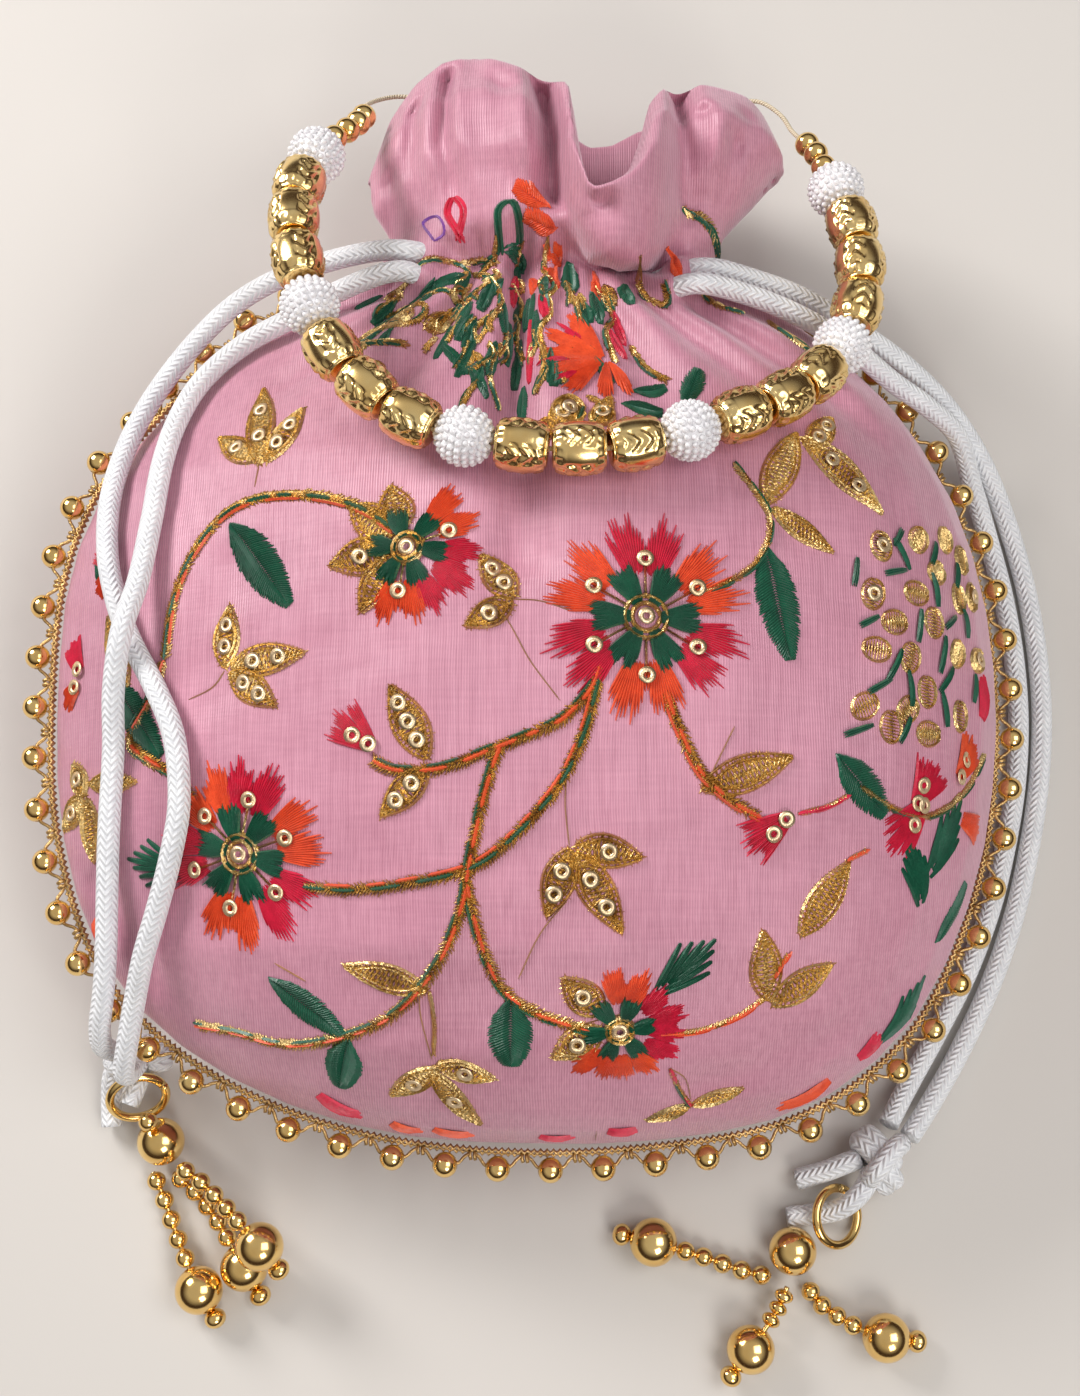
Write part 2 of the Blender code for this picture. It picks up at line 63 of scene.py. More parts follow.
# ---- Camera, floor and light ----
# The bag lies on a pale table and is seen from above, a little from its bottom end.
# The main light is a soft window at the upper left, with two weaker lights to fill the rest.
MM = 0.001
LOOK_AT = Vector((2, 0, 25)) * MM
CAMERA_DISTANCE = 405 * MM
CAMERA_TILT = math.radians(11)

camera = bpy.data.objects.new("camera", bpy.data.cameras.new("camera"))
away = Vector((0, -math.sin(CAMERA_TILT), math.cos(CAMERA_TILT)))
camera.location = LOOK_AT + away * CAMERA_DISTANCE
camera.rotation_euler = (CAMERA_TILT, 0, 0)
camera.data.lens = 50
camera.data.sensor_width = 36
camera.data.clip_start = 0.01
bpy.context.scene.collection.objects.link(camera)
bpy.context.scene.camera = camera
bpy.context.scene.view_settings.view_transform = "Standard"


def soft_light(name, place, power, width, colour):
    light = bpy.data.lights.new(name, "AREA")
    light.energy = power
    light.size = width
    light.color = colour
    lamp = bpy.data.objects.new(name, light)
    lamp.location = place
    lamp.rotation_euler = (LOOK_AT - Vector(place)).to_track_quat("-Z", "Y").to_euler()
    bpy.context.scene.collection.objects.link(lamp)


soft_light("window", (-0.64, 0.50, 0.50), 8.2, 0.35, (1.0, 0.98, 0.96))
soft_light("ceiling", (0.45, 0.00, 0.78), 2.6, 0.5, (1.0, 1.0, 1.0))
soft_light("glint", (0.28, -0.60, 0.60), 2.6, 0.3, (1.0, 0.97, 0.92))

world = bpy.data.worlds.new("room")
bpy.context.scene.world = world
world.use_nodes = True
sky = world.node_tree
room = sky.nodes["Background"]
room.inputs["Strength"].default_value = 0.50
where = sky.nodes.new("ShaderNodeTexCoord")
split = sky.nodes.new("ShaderNodeSeparateXYZ")
ramp = sky.nodes.new("ShaderNodeValToRGB")
room_tones = [(0.30, (0.10, 0.07, 0.06, 1)), (0.75, (1.0, 0.98, 0.96, 1))]
for element, (position, colour) in zip(ramp.color_ramp.elements, room_tones):
    element.position = position
    element.color = colour
sky.links.new(where.outputs["Generated"], split.inputs[0])
sky.links.new(split.outputs["Z"], ramp.inputs["Fac"])
sky.links.new(ramp.outputs["Color"], room.inputs["Color"])


def start_material(name, colour, roughness, metallic=0.0):
    """A new material, its node tree and its Principled shader."""
    material = bpy.data.materials.new(name)
    material.use_nodes = True
    tree = material.node_tree
    shader = tree.nodes["Principled BSDF"]
    shader.inputs["Base Color"].default_value = (*colour, 1)
    shader.inputs["Roughness"].default_value = roughness
    shader.inputs["Metallic"].default_value = metallic
    return material, tree, shader


def node(tree, kind, inputs=None, **settings):
    """Adds a shader node, sets its properties and its inputs, and links inputs given as sockets."""
    made = tree.nodes.new(kind)
    for key, value in settings.items():
        setattr(made, key, value)
    for key, value in (inputs or {}).items():
        if isinstance(value, bpy.types.NodeSocket):
            tree.links.new(value, made.inputs[key])
        else:
            made.inputs[key].default_value = value
    return made


def noise_at(tree, coords, scale, stretch=(1, 1, 1)):
    """A noise value in an evenly scaled or stretched space."""
    placed = node(tree, "ShaderNodeMapping", {"Vector": coords, "Scale": stretch})
    return node(tree, "ShaderNodeTexNoise", {
        "Vector": placed.outputs[0], "Scale": scale, "Detail": 2.0,
    }).outputs[0]


def calc(tree, operation, first, second=0.0, third=0.0):
    inputs = {0: first, 1: second, 2: third}
    return node(tree, "ShaderNodeMath", inputs, operation=operation).outputs[0]


def shade_between(tree, factor, low, high):
    """A colour that runs from low to high with the factor."""
    mixer = node(tree, "ShaderNodeMix", {0: factor}, data_type="RGBA")
    mixer.inputs[6].default_value = (*low, 1)
    mixer.inputs[7].default_value = (*high, 1)
    return mixer.outputs[2]


def bump(tree, height, strength, distance):
    return node(tree, "ShaderNodeBump", {
        "Height": height, "Strength": strength, "Distance": distance,
    }).outputs[0]


bpy.ops.object.select_all(action="DESELECT")
bpy.ops.mesh.primitive_plane_add(size=6, location=(0, 0, -0.0002))
floor = bpy.context.object
floor.name = "table_top"
paint, tree, shader = start_material("table_pale", (0.60, 0.57, 0.54), 0.8)
floor.data.materials.append(paint)
floor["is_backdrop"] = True

# ---- Drawcords ----
# White braided polyester cord, 4.4 mm thick. Each cord leaves the gathered neck twice, and its
# two strands run down the side of the bag to one knot. The braid is a herringbone of fine yarns.
CORD_DIAMETER = 4.4
CORD_SIDES = 20
BRAID_COLUMNS = 5
BRAID_PITCH = 1.5 * MM
CORD_ROUTES = {
    "left_cord_outer": [
        (-26, 91, 44.6), (-33.6, 91.8, 42), (-44.2, 90.2, 39.6), (-54.9, 86.6, 38),
        (-63.5, 81.4, 36.5), (-71.9, 73, 35), (-79.3, 62.5, 34.4), (-84, 51.2, 36.2),
        (-86, 38.4, 40.6), (-85.2, 26, 44.4), (-82.4, 15.6, 47.7), (-78.4, 6.4, 50.6),
        (-72.4, -4, 54.4), (-68, -14, 57), (-66.7, -26, 56.5), (-68.4, -36, 53.8),
        (-71.6, -46, 49), (-75, -54.9, 43.7), (-77.6, -63, 37.4), (-79.8, -71.2, 32.2),
        (-81.6, -76.6, 26), (-81.8, -77, 19.6), (-81, -74.8, 14.8),
    ],
    "left_cord_inner": [
        (-27.5, 85.5, 46.8), (-38.3, 82.8, 44.3), (-48.8, 77, 43.2), (-59, 72.3, 40.6),
        (-67.5, 65, 39.8), (-72, 55.8, 42.4), (-74.2, 44.5, 47), (-75.4, 31, 50.2),
        (-76.8, 18, 53.6), (-79, 7, 56.8), (-80.9, -4, 53), (-81.4, -15, 48.6),
        (-82.2, -30.3, 46), (-82.8, -43, 42.4), (-83.4, -53, 38.6), (-84.4, -61, 34.8),
        (-86, -67.6, 29.6), (-86.8, -71.4, 22.6), (-85.6, -72.6, 14.6),
    ],
    "right_cord_outer": [
        (37.4, 86, 46.9), (46.5, 85, 43.5), (57, 82.4, 40), (68, 77.6, 35.5),
        (80, 72.6, 27.5), (91, 66, 18.5), (100, 56.6, 10), (106, 45, 4.6),
        (110, 31, 2.6), (112, 17, 2.4), (112.6, 2, 2.4), (111.4, -13, 2.4),
        (108.6, -28, 2.4), (104.6, -43, 2.4), (98.8, -58, 2.4), (91.6, -72, 2.6),
        (84.4, -83.4, 4), (79.4, -90, 6.4),
    ],
    "right_cord_inner": [
        (34.5, 81, 51), (44, 80, 48), (54.4, 77, 45), (65.5, 72.9, 39.4),
        (77, 67.2, 31), (85, 63.6, 26), (93, 59.4, 18.4), (98, 51, 9), (102, 41, 3.8),
        (105.2, 28, 2.4), (107, 14, 2.4), (107.4, 0, 2.4), (106.2, -14, 2.4),
        (103.4, -28, 2.4), (99.4, -42, 2.4), (93.6, -56, 2.4), (86.4, -69, 2.6),
        (79.6, -80, 4), (75, -87.4, 6.6),
    ],
}


def smooth_path(points, step, closed=False):
    """Even points, in metres, on a Catmull-Rom curve through points in millimetres."""
    knots = [Vector(p) * MM for p in points]
    if closed:
        knots = [knots[-1], *knots, knots[0], knots[1]]
    else:
        knots = [2 * knots[0] - knots[1], *knots, 2 * knots[-1] - knots[-2]]
    dense = []
    for a, b, c, d in zip(knots, knots[1:], knots[2:], knots[3:]):
        for part in range(12):
            t = part / 12
            dense.append(0.5 * (
                2 * b + (c - a) * t + (2 * a - 5 * b + 4 * c - d) * t ** 2
                + (3 * b - a - 3 * c + d) * t ** 3
            ))
    dense.append(knots[-2])
    steps = np.array([(q - p).length for p, q in zip(dense, dense[1:])])
    reach = np.concatenate([[0], np.cumsum(steps)])
    count = max(2, round(reach[-1] / (step * MM)) + 1)
    wanted = np.linspace(0, reach[-1], count)
    table = np.array(dense)
    even = np.stack([np.interp(wanted, reach, table[:, axis]) for axis in range(3)], axis=1)
    return [Vector(p) for p in even]


def tube_shape(path, radius, sides):
    """Vertices, faces and UVs of a round tube along the path. U runs round it and V along it."""
    verts, faces, uvs = [], [], []
    side = Vector((0, 0, 1))
    reach = 0.0
    reaches = []
    for index, here in enumerate(path):
        ahead = path[min(index + 1, len(path) - 1)] - path[max(index - 1, 0)]
        ahead.normalize()
        side = (side - ahead * side.dot(ahead)).normalized()
        other = ahead.cross(side)
        if index:
            reach += (here - path[index - 1]).length
        reaches.append(reach)
        for turn in range(sides):
            angle = 2 * math.pi * turn / sides
            verts.append(here + (side * math.cos(angle) + other * math.sin(angle)) * radius)
    for row in range(len(path) - 1):
        after = row + 1
        for turn in range(sides):
            next_turn = (turn + 1) % sides
            faces.append((
                row * sides + turn, row * sides + next_turn,
                after * sides + next_turn, after * sides + turn,
            ))
            u, u2 = turn / sides, (turn + 1) / sides
            uvs.extend([(u, reaches[row]), (u2, reaches[row])])
            uvs.extend([(u2, reaches[after]), (u, reaches[after])])
    faces.append(tuple(range(sides))[::-1])
    faces.append(tuple((len(path) - 1) * sides + turn for turn in range(sides)))
    uvs.extend([(turn / sides, 0) for turn in range(sides)][::-1])
    uvs.extend([(turn / sides, reach) for turn in range(sides)])
    return verts, faces, uvs


def mesh_piece(name, shapes, material, smooth=True):
    """One mesh object from several shapes, each with vertices, faces and maybe UVs."""
    verts, faces, uvs = [], [], []
    for shape in shapes:
        first = len(verts)
        verts.extend(shape[0])
        faces.extend([tuple(first + corner for corner in face) for face in shape[1]])
        uvs.extend(shape[2] if len(shape) > 2 else [])
    mesh = bpy.data.meshes.new(name)
    mesh.from_pydata(verts, [], faces)
    if uvs:
        layer = mesh.uv_layers.new(name="along")
        layer.data.foreach_set("uv", np.array(uvs, np.float32).ravel())
    mesh.polygons.foreach_set("use_smooth", [smooth] * len(mesh.polygons))
    mesh.update()
    piece = bpy.data.objects.new(name, mesh)
    bpy.context.scene.collection.objects.link(piece)
    mesh.materials.append(material)
    return piece


def assign(piece, body, slot, *covered):
    """Names the body that carries the piece and the CAD nodes it replaces, which it hides. The slot
    argument is not used.
    """
    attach(piece, body)
    if covered:
        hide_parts(*covered)


cord_white, tree, shader = start_material("braided_white_cord", (0.86, 0.87, 0.89), 0.62)
shader.inputs["Sheen Weight"].default_value = 0.35
uv = node(tree, "ShaderNodeUVMap", uv_map="along").outputs[0]
parts = node(tree, "ShaderNodeSeparateXYZ", {0: uv})
column = calc(tree, "PINGPONG", calc(tree, "MULTIPLY", parts.outputs[0], BRAID_COLUMNS * 2), 1.0)
slant = calc(tree, "MULTIPLY_ADD", parts.outputs[1], 1 / BRAID_PITCH, column)
rib = calc(tree, "SINE", calc(tree, "MULTIPLY", slant, 2 * math.pi))
valley = calc(tree, "ABSOLUTE", calc(tree, "SUBTRACT", column, 0.5))
height = calc(tree, "MULTIPLY_ADD", valley, -1.2, rib)
coords = node(tree, "ShaderNodeTexCoord").outputs["Object"]
soiled = noise_at(tree, coords, 260)
# The colour is lighter on the braid's raised ribs and darker in the grooves between them: painted
# shade. The soiled noise adds a random tone.
mask = calc(tree, "MULTIPLY_ADD", rib, 0.22, soiled)
tree.links.new(
    shade_between(tree, mask, (0.66, 0.67, 0.71), (0.93, 0.94, 0.96)), shader.inputs["Base Color"]
)
tree.links.new(bump(tree, height, 0.55, 0.00035), shader.inputs["Normal"])

CORD_RADIUS = CORD_DIAMETER / 2 * MM
CORD_STEP = 1.2
# Inside the gathers each strand goes on for a little, out of sight.
CORD_ROOTS = {
    "left_cord_outer": [(-13, 90, 36), (-20, 90.8, 41.4)],
    "left_cord_inner": [(-14, 83.6, 37), (-21, 84.8, 43)],
    "right_cord_outer": [(24, 85.6, 38), (31, 86.2, 44.4)],
    "right_cord_inner": [(21, 80.6, 41), (28, 80.8, 47.6)],
}
for name, route in CORD_ROUTES.items():
    path = smooth_path(CORD_ROOTS[name] + route, CORD_STEP)
    strand = mesh_piece("braided_" + name, [tube_shape(path, CORD_RADIUS, CORD_SIDES)], cord_white)
    assign(strand, "bag", "cord_white", name)
    tuple(path[0])
    sum((q - p).length for p, q in zip(path, path[1:]))
    [tuple(p) for p in path[::3]]

# ---- Knots ----
# Both strands of a cord are tied in one overhand knot: its turns wrap round the pair, and the
# two cut ends stand out of it. One end passes through the tassel's ring.
KNOT_STEP = 0.9
KNOT_HALF_WIDTH = 5.2
KNOT_HALF_HEIGHT = 3.1
KNOT_HALF_LENGTH = 2.1
KNOT_TURN_POINTS = 16
# Each knot: its middle, its heading, the strand that crosses over it (from its middle), its ends.
KNOTS = {
    "left_knot": (
        (-82.6, -73.2, 8), (0.12, -1, 0),
        [(2.4, 2.6, 5), (0.5, 0.5, 5.6), (-3, -1.8, 4.4), (-4.2, -2.6, 0)],
        [
            [(-86.4, -74.2, 6.6), (-88.4, -77.4, 4.4), (-88.9, -82, 2.8), (-88.6, -88, 2.5)],
            [(-82, -75.5, 7.4), (-82.2, -78, 8), (-82.9, -80.6, 8.6), (-83.9, -83.4, 8.8)],
        ],
    ),
    "right_knot": (
        (72.6, -94.6, 6.6), (-0.82, -0.57, 0),
        [(4.6, 3.4, 2), (2.4, 2, 5), (-0.6, -1.4, 5.4), (-2.2, -3.8, 2)],
        [
            [(69, -94.4, 6.4), (66, -95.4, 6), (61.5, -97.2, 4.4), (56.2, -98.8, 2.5)],
            [
                (71, -97, 6.8), (69.6, -100, 7.6), (67.2, -102.8, 7), (64.2, -104.9, 4.8),
                (60.4, -105.8, 2.8), (53.8, -106.6, 2.5),
            ],
        ],
    ),
}


def knot_turns(centre, heading):
    """A winding of cord round the heading: points of a flat helix that starts and ends inside."""
    across = Vector((-heading.y, heading.x, 0))
    points = []
    for index in range(KNOT_TURN_POINTS + 1):
        angle = 2 * math.pi * index / 8 + 0.6
        along = (index / KNOT_TURN_POINTS * 2 - 1) * KNOT_HALF_LENGTH
        tuck = 0.45 if index in (0, KNOT_TURN_POINTS) else 1.0
        points.append(tuple(
            centre + heading * along + across * math.cos(angle) * KNOT_HALF_WIDTH * tuck
            + Vector((0, 0, 1)) * math.sin(angle) * KNOT_HALF_HEIGHT * tuck
        ))
    return points


for name, (middle, heading, over, ends) in KNOTS.items():
    middle = Vector(middle)
    turns = knot_turns(middle, Vector(heading).normalized())
    routes = [turns, [tuple(middle + Vector(p)) for p in over], *ends]
    shapes = [tube_shape(smooth_path(route, KNOT_STEP), CORD_RADIUS, CORD_SIDES) for route in routes]
    assign(mesh_piece("tied_" + name, shapes, cord_white), "bag", "cord_white", name)

# ---- Cloth bag ----
# Pink dupion silk over a thin padding, front and back sewn together at the sides and bottom.
# The drawcord gathers the neck into pleats, and above it the cloth puffs into a soft frill.
VOXEL = 0.98 * MM
RIB_PITCH = 0.5 * MM
# Each pleat: its route on the front in plan (mm), its depth and half width at the neck, and the
# share of the depth kept at its end. The last eight are broad, shallow hollows in the body.
PLEATS = [
    ([(-1.6, 93), (-2.4, 66), (-3.4, 50), (-2.2, 36), (-0.6, 20)], 12.0, 2.6, 0.22),
    ([(6.4, 92), (5.4, 80), (4.4, 70), (4, 60)], 5.6, 1.7, 0.10),
    ([(12, 92), (13.9, 82), (18.7, 70), (23, 58), (27, 46)], 6.4, 1.9, 0.08),
    ([(18, 91), (22, 81), (31.8, 70), (43, 59), (54, 47)], 7.0, 2.1, 0.08),
    ([(24, 91), (29, 82), (43, 71), (59, 58), (75, 44)], 8.0, 2.3, 0.10),
    ([(30, 90), (37, 82), (52, 74), (70, 63)], 6.0, 1.9, 0.06),
    ([(-6.4, 92), (-8.4, 78), (-10.6, 66), (-14, 52)], 5.4, 1.7, 0.08),
    ([(-11, 92), (-13.4, 80), (-19, 68), (-27, 55), (-33, 46)], 6.4, 2.0, 0.06),
    ([(-17, 91), (-21.4, 82), (-32, 73), (-46, 63), (-58, 54)], 6.4, 2.0, 0.06),
    ([(-23, 90), (-29, 84), (-42, 78), (-56, 70)], 4.6, 1.8, 0.06),
    ([(2.4, 90), (1.4, 82), (0.8, 76)], 4.4, 1.2, 0.10),
    ([(9.4, 90), (9.8, 80), (11, 72)], 3.6, 1.2, 0.10),
    ([(-3.8, 90), (-5, 82), (-6, 74)], 3.8, 1.2, 0.10),
    ([(-8.8, 90), (-10.8, 82), (-14, 74)], 3.8, 1.2, 0.10),
    ([(15.2, 90), (18, 81), (24, 73)], 4.0, 1.3, 0.10),
    ([(27, 90), (33, 82), (44, 76)], 3.6, 1.3, 0.10),
    ([(21, 90), (25.6, 82), (36, 74)], 3.6, 1.3, 0.10),
    ([(-14.2, 90), (-17, 82), (-24, 76)], 3.6, 1.2, 0.10),
    ([(-20, 90), (-25, 84), (-35, 79)], 3.0, 1.2, 0.10),
    ([(52, 30), (58, 5), (60, -20)], 1.3, 5.0, 0.2),
    ([(-30, 20), (-38, -8), (-40, -30)], 1.2, 5.0, 0.2),
    ([(-3, 20), (2, 0), (-4, -22)], 1.4, 6.0, 0.2),
    ([(20, 20), (28, 0), (30, -18)], 0.9, 4.5, 0.2),
    ([(-86, -40), (-70, -62), (-48, -78)], 1.6, 3.0, 0.6),
    ([(30, -80), (58, -70), (80, -52)], 1.8, 3.0, 0.6),
    ([(-58, 20), (-62, 0), (-60, -22)], 1.0, 4.0, 0.2),
    ([(-20, -82), (-8, -62), (0, -40)], 0.9, 4.0, 0.2),
]
RIDGES = [
    ([(-4.4, 84), (-8, 62), (-10, 44), (-9, 28)], 2.6, 4.2, 0.2),
    ([(3.6, 80), (1.8, 62), (4, 44), (6, 26)], 3.4, 3.0, 0.15),
    ([(17, 84), (26, 68), (38, 54), (48, 40)], 2.4, 2.6, 0.1),
    ([(22, 86), (36, 71), (50, 58), (64, 46)], 3.0, 2.6, 0.1),
    ([(30, 86), (47, 73), (66, 59), (80, 44)], 3.0, 2.8, 0.1),
    ([(-9, 84), (-16, 66), (-23, 52)], 2.6, 2.8, 0.1),
    ([(-14, 86), (-26, 70), (-40, 56)], 2.6, 2.8, 0.1),
]
# The back has its own, plainer gathers.
BACK_PLEATS = [
    ([(x, 94), (x * 1.5, 74), (x * 2.2, 52)], 3.0, 2.2, 0.05) for x in range(-24, 37, 6)
]
# The frill's front: folds that run up to the hem, and how far up the hem reaches at each x.
FRILL_FOLDS = [
    ([(2.6, 130), (4.6, 113), (5.4, 103), (6.6, 95), (5, 87)], 13.0, 2.4, 0.9),
    ([(31.4, 132), (32, 112), (31.6, 98), (29, 86)], 9.0, 2.2, 0.9),
    ([(-17.6, 128), (-18.4, 112), (-15, 97), (-10, 88)], 5.0, 1.5, 0.9),
    ([(-6, 124), (-7, 110), (-3.6, 100), (-1, 90)], 3.4, 3.4, 0.9),
    ([(-24.6, 124), (-25.4, 110), (-20.4, 98), (-17, 90)], 3.4, 1.7, 0.8),
    ([(-30, 112), (-28, 100), (-22, 92)], 3.0, 1.6, 0.8),
    ([(43, 116), (40, 104), (35, 94)], 4.4, 2.0, 0.8),
    ([(36, 122), (36.6, 108), (33.4, 97)], 3.4, 1.6, 0.8),
    ([(14.4, 104), (15.4, 97), (16, 91), (16.4, 86)], 5.4, 1.8, 0.5),
    ([(-12, 131), (-12.6, 118), (-11, 106)], 2.6, 2.2, 0.5),
    ([(45.6, 122), (46.4, 112), (42.6, 101)], 2.0, 2.4, 0.5),
]
HEM_REACH = [
    (-36, 119), (-31, 127.5), (-25, 133.5), (-19, 136.5), (-12, 136.8), (-4, 133), (3, 130),
    (8, 127), (10, 113), (11.4, 100.5), (13, 98), (16.5, 100.5), (20, 105.5), (22.6, 113),
    (24.6, 122), (28, 127), (36, 129), (46, 129), (52, 126.5), (58, 122),
]
BACK_HEM_REACH = [
    (-36, 124), (-20, 132), (5, 132), (9, 130), (13, 127), (18, 127.5), (24, 131), (30, 132),
    (40, 130), (52, 126), (58, 121),
]
# Where each cord comes out from under the gathers.
NECK_ENDS = [(-20, 90.5, 43), (-21.5, 85, 45), (31.5, 86.5, 46), (28.5, 81, 49)]
NECK = 91.0
HEM = 133.0
SEAM_HEIGHT = 31.0
TONGUE_MIDDLE = 19.0
TONGUE_RISE = 10.5
TONGUE_OVERHANG = 10.0
TONGUE_LEAN = 2.2
LEFT_PUFF = 2.0
RIGHT_PUFF = 1.5
CORD_BULGE_REACH = 4.2
CORD_BULGE_COVER = 2.6


def crease_weight(x, y, routes):
    """How far each point in plan is pushed in by the creases, in millimetres."""
    push = np.zeros_like(x)
    for route, depth, half_width, end_share in routes:
        steps = [math.dist(a, b) for a, b in zip(route, route[1:])]
        whole = sum(steps)
        best = np.full_like(x, 1e9)
        share = np.zeros_like(x)
        run = 0.0
        for (ax, ay), (bx, by), step in zip(route, route[1:], steps):
            t = np.clip(((x - ax) * (bx - ax) + (y - ay) * (by - ay)) / step ** 2, 0, 1)
            away = np.hypot(x - ax - t * (bx - ax), y - ay - t * (by - ay))
            nearer = away < best
            best = np.where(nearer, away, best)
            share = np.where(nearer, (run + t * step) / whole, share)
            run += step
        fade = 1 - (1 - end_share) * share
        wide = half_width * (1 + 1.1 * share)
        push += depth * fade * np.exp(-((best / wide) ** 2))
    return push


def ease(value, low, high):
    t = np.clip((value - low) / (high - low), 0, 1)
    return t * t * (3 - 2 * t)


def gathered_cloth():
    """The two panels as one skin: remeshed evenly, smoothed, and cleared of stray bubbles."""
    skin = bmesh.new()
    for name in ("front_panel", "back_panel"):
        skin.from_mesh(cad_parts[name].data)
    bmesh.ops.remove_doubles(skin, verts=skin.verts, dist=1e-6)
    mesh = bpy.data.meshes.new("bag_cloth")
    skin.to_mesh(mesh)
    skin.free()
    cloth = bpy.data.objects.new("bag_cloth", mesh)
    bpy.context.scene.collection.objects.link(cloth)
    bpy.ops.object.select_all(action="DESELECT")
    cloth.select_set(True)
    bpy.context.view_layer.objects.active = cloth
    remesh = cloth.modifiers.new("even", "REMESH")
    remesh.mode = "VOXEL"
    remesh.voxel_size = VOXEL
    bpy.ops.object.modifier_apply(modifier="even")
    level = cloth.modifiers.new("level", "SMOOTH")
    level.iterations = 8
    level.factor = 0.6
    bpy.ops.object.modifier_apply(modifier="level")
    keep_largest(cloth)
    return cloth


def keep_largest(piece):
    """Removes the small closed bubbles that a remesh leaves inside a shape."""
    shell = bmesh.new()
    shell.from_mesh(piece.data)
    unseen = set(shell.verts)
    groups = []
    while unseen:
        stack = [unseen.pop()]
        group = set(stack)
        while stack:
            for edge in stack.pop().link_edges:
                for vert in edge.verts:
                    if vert not in group:
                        group.add(vert)
                        stack.append(vert)
        unseen -= group
        groups.append(group)
    groups.sort(key=len)
    for group in groups[:-1]:
        bmesh.ops.delete(shell, geom=list(group), context="VERTS")
    shell.to_mesh(piece.data)
    shell.free()


def soft_noise(x, y, scale, seed):
    """A smooth pseudo-random field, from a few crossed waves."""
    rng = random.Random(seed)
    field = np.zeros_like(x)
    for _ in range(7):
        angle = rng.uniform(0, math.pi)
        wave = rng.uniform(0.6, 1.5) / scale
        phase = rng.uniform(0, 2 * math.pi)
        field += np.sin((x * math.cos(angle) + y * math.sin(angle)) * wave * 2 * math.pi + phase)
    return field / 7


def shape_gathers(cloth):
    """Moves the cloth's points into the pleats, the frill's folds and lobes, and its hem."""
    mesh = cloth.data
    count = len(mesh.vertices)
    flat = np.empty(count * 3, np.float32)
    mesh.vertices.foreach_get("co", flat)
    normals = np.empty(count * 3, np.float32)
    mesh.vertices.foreach_get("normal", normals)
    x, y, z = (flat.reshape(-1, 3).astype(np.float64) / MM).T
    facing = normals.reshape(-1, 3)[:, 2].astype(np.float64)
    front = ease(facing, -0.1, 0.35) * ease(z, SEAM_HEIGHT - 9, SEAM_HEIGHT - 1)
    back = ease(-facing, -0.1, 0.35) * ease(-z, -SEAM_HEIGHT, -16)
    frill = ease(y, NECK + 3, NECK + 14)
    body = 1 - ease(y, NECK - 3, NECK + 12)
    dip = crease_weight(x, y, PLEATS) - crease_weight(x, y, RIDGES)
    z_new = z - front * body * dip
    z_new -= front * frill * crease_weight(x, y, FRILL_FOLDS)
    z_new += back * ease(y, 45, 80) * crease_weight(x, y, BACK_PLEATS)
    z_new += front * 0.55 * soft_noise(x, y, 26, 3) * body
    z_new += front * 0.22 * soft_noise(x, y, 11, 5)
    # The middle lobe is a tongue with steep sides that rolls forward over the neck.
    half = 7.0 + 5.0 * ease(y, 86, 106)
    offset = (x - TONGUE_MIDDLE + 1.5 * ease(y, 96, 112)) / half
    tongue = (np.tanh((offset + 1) * 4.0) - np.tanh((offset - 1) * 3.2)) / 2
    tongue *= np.clip(1 - 0.4 * offset ** 2, 0, 1)
    tongue *= ease(y, 87.5, 93) * (1 - 0.8 * ease(y, 103, 124))
    left = np.exp(-((x + 12) / 13) ** 2 - ((y - 112) / 12) ** 2)
    right = np.exp(-((x - 43) / 8) ** 2 - ((y - 106) / 11) ** 2)
    upper = ease(z, 36, 46)
    z_new += upper * (TONGUE_RISE * tongue + LEFT_PUFF * left + RIGHT_PUFF * right)
    x = x - upper * tongue * TONGUE_LEAN * np.exp(-(((x - 9) / 3.5) ** 2))
    y_new = y - upper * TONGUE_OVERHANG * tongue * (1 - ease(y, 92, 112))
    for end_x, end_y, end_z in NECK_ENDS:
        away = (x - end_x) ** 2 + (y_new - end_y) ** 2
        near = ease(z, 34, 38) * np.exp(-away / CORD_BULGE_REACH ** 2)
        z_new = z_new * (1 - near) + near * np.maximum(z_new, end_z + CORD_BULGE_COVER)
    front_hem = np.interp(x, *zip(*HEM_REACH))
    back_hem = np.interp(x, *zip(*BACK_HEM_REACH))
    blend = ease(z, 24, 36)
    hem = front_hem * blend + back_hem * (1 - blend)
    reach = np.clip((y_new - NECK) / (HEM - NECK), 0, None)
    y_new = np.where(y_new > NECK, NECK + (hem - NECK) * reach, y_new)
    placed = np.stack([x, y_new, z_new], axis=1) * MM
    mesh.vertices.foreach_set("co", placed.astype(np.float32).ravel())
    mesh.update()


cloth = gathered_cloth()
shape_gathers(cloth)
settle = cloth.modifiers.new("settle", "SMOOTH")
settle.iterations = 2
settle.factor = 0.5
bpy.ops.object.modifier_apply(modifier="settle")
cloth.data.polygons.foreach_set("use_smooth", [True] * len(cloth.data.polygons))

dupion, tree, shader = start_material("pink_dupion_silk", (0.74, 0.36, 0.50), 0.42)
coords = node(tree, "ShaderNodeTexCoord").outputs["Object"]
parts = node(tree, "ShaderNodeSeparateXYZ", {0: coords})
wander = noise_at(tree, coords, 45)
across = calc(tree, "MULTIPLY_ADD", wander, 0.0016, parts.outputs[0])
rib = calc(tree, "SINE", calc(tree, "MULTIPLY", across, 2 * math.pi / RIB_PITCH))
warp = noise_at(tree, coords, 1500, (1, 0.05, 0.4))
weft = noise_at(tree, coords, 1300, (0.06, 1, 0.4))
bloom = noise_at(tree, coords, 34)
threads = calc(tree, "MULTIPLY_ADD", rib, 0.32, calc(tree, "MULTIPLY_ADD", weft, 0.6, warp))
tone = calc(tree, "MULTIPLY_ADD", calc(tree, "SUBTRACT", threads, 0.8), 0.7, 0.5)
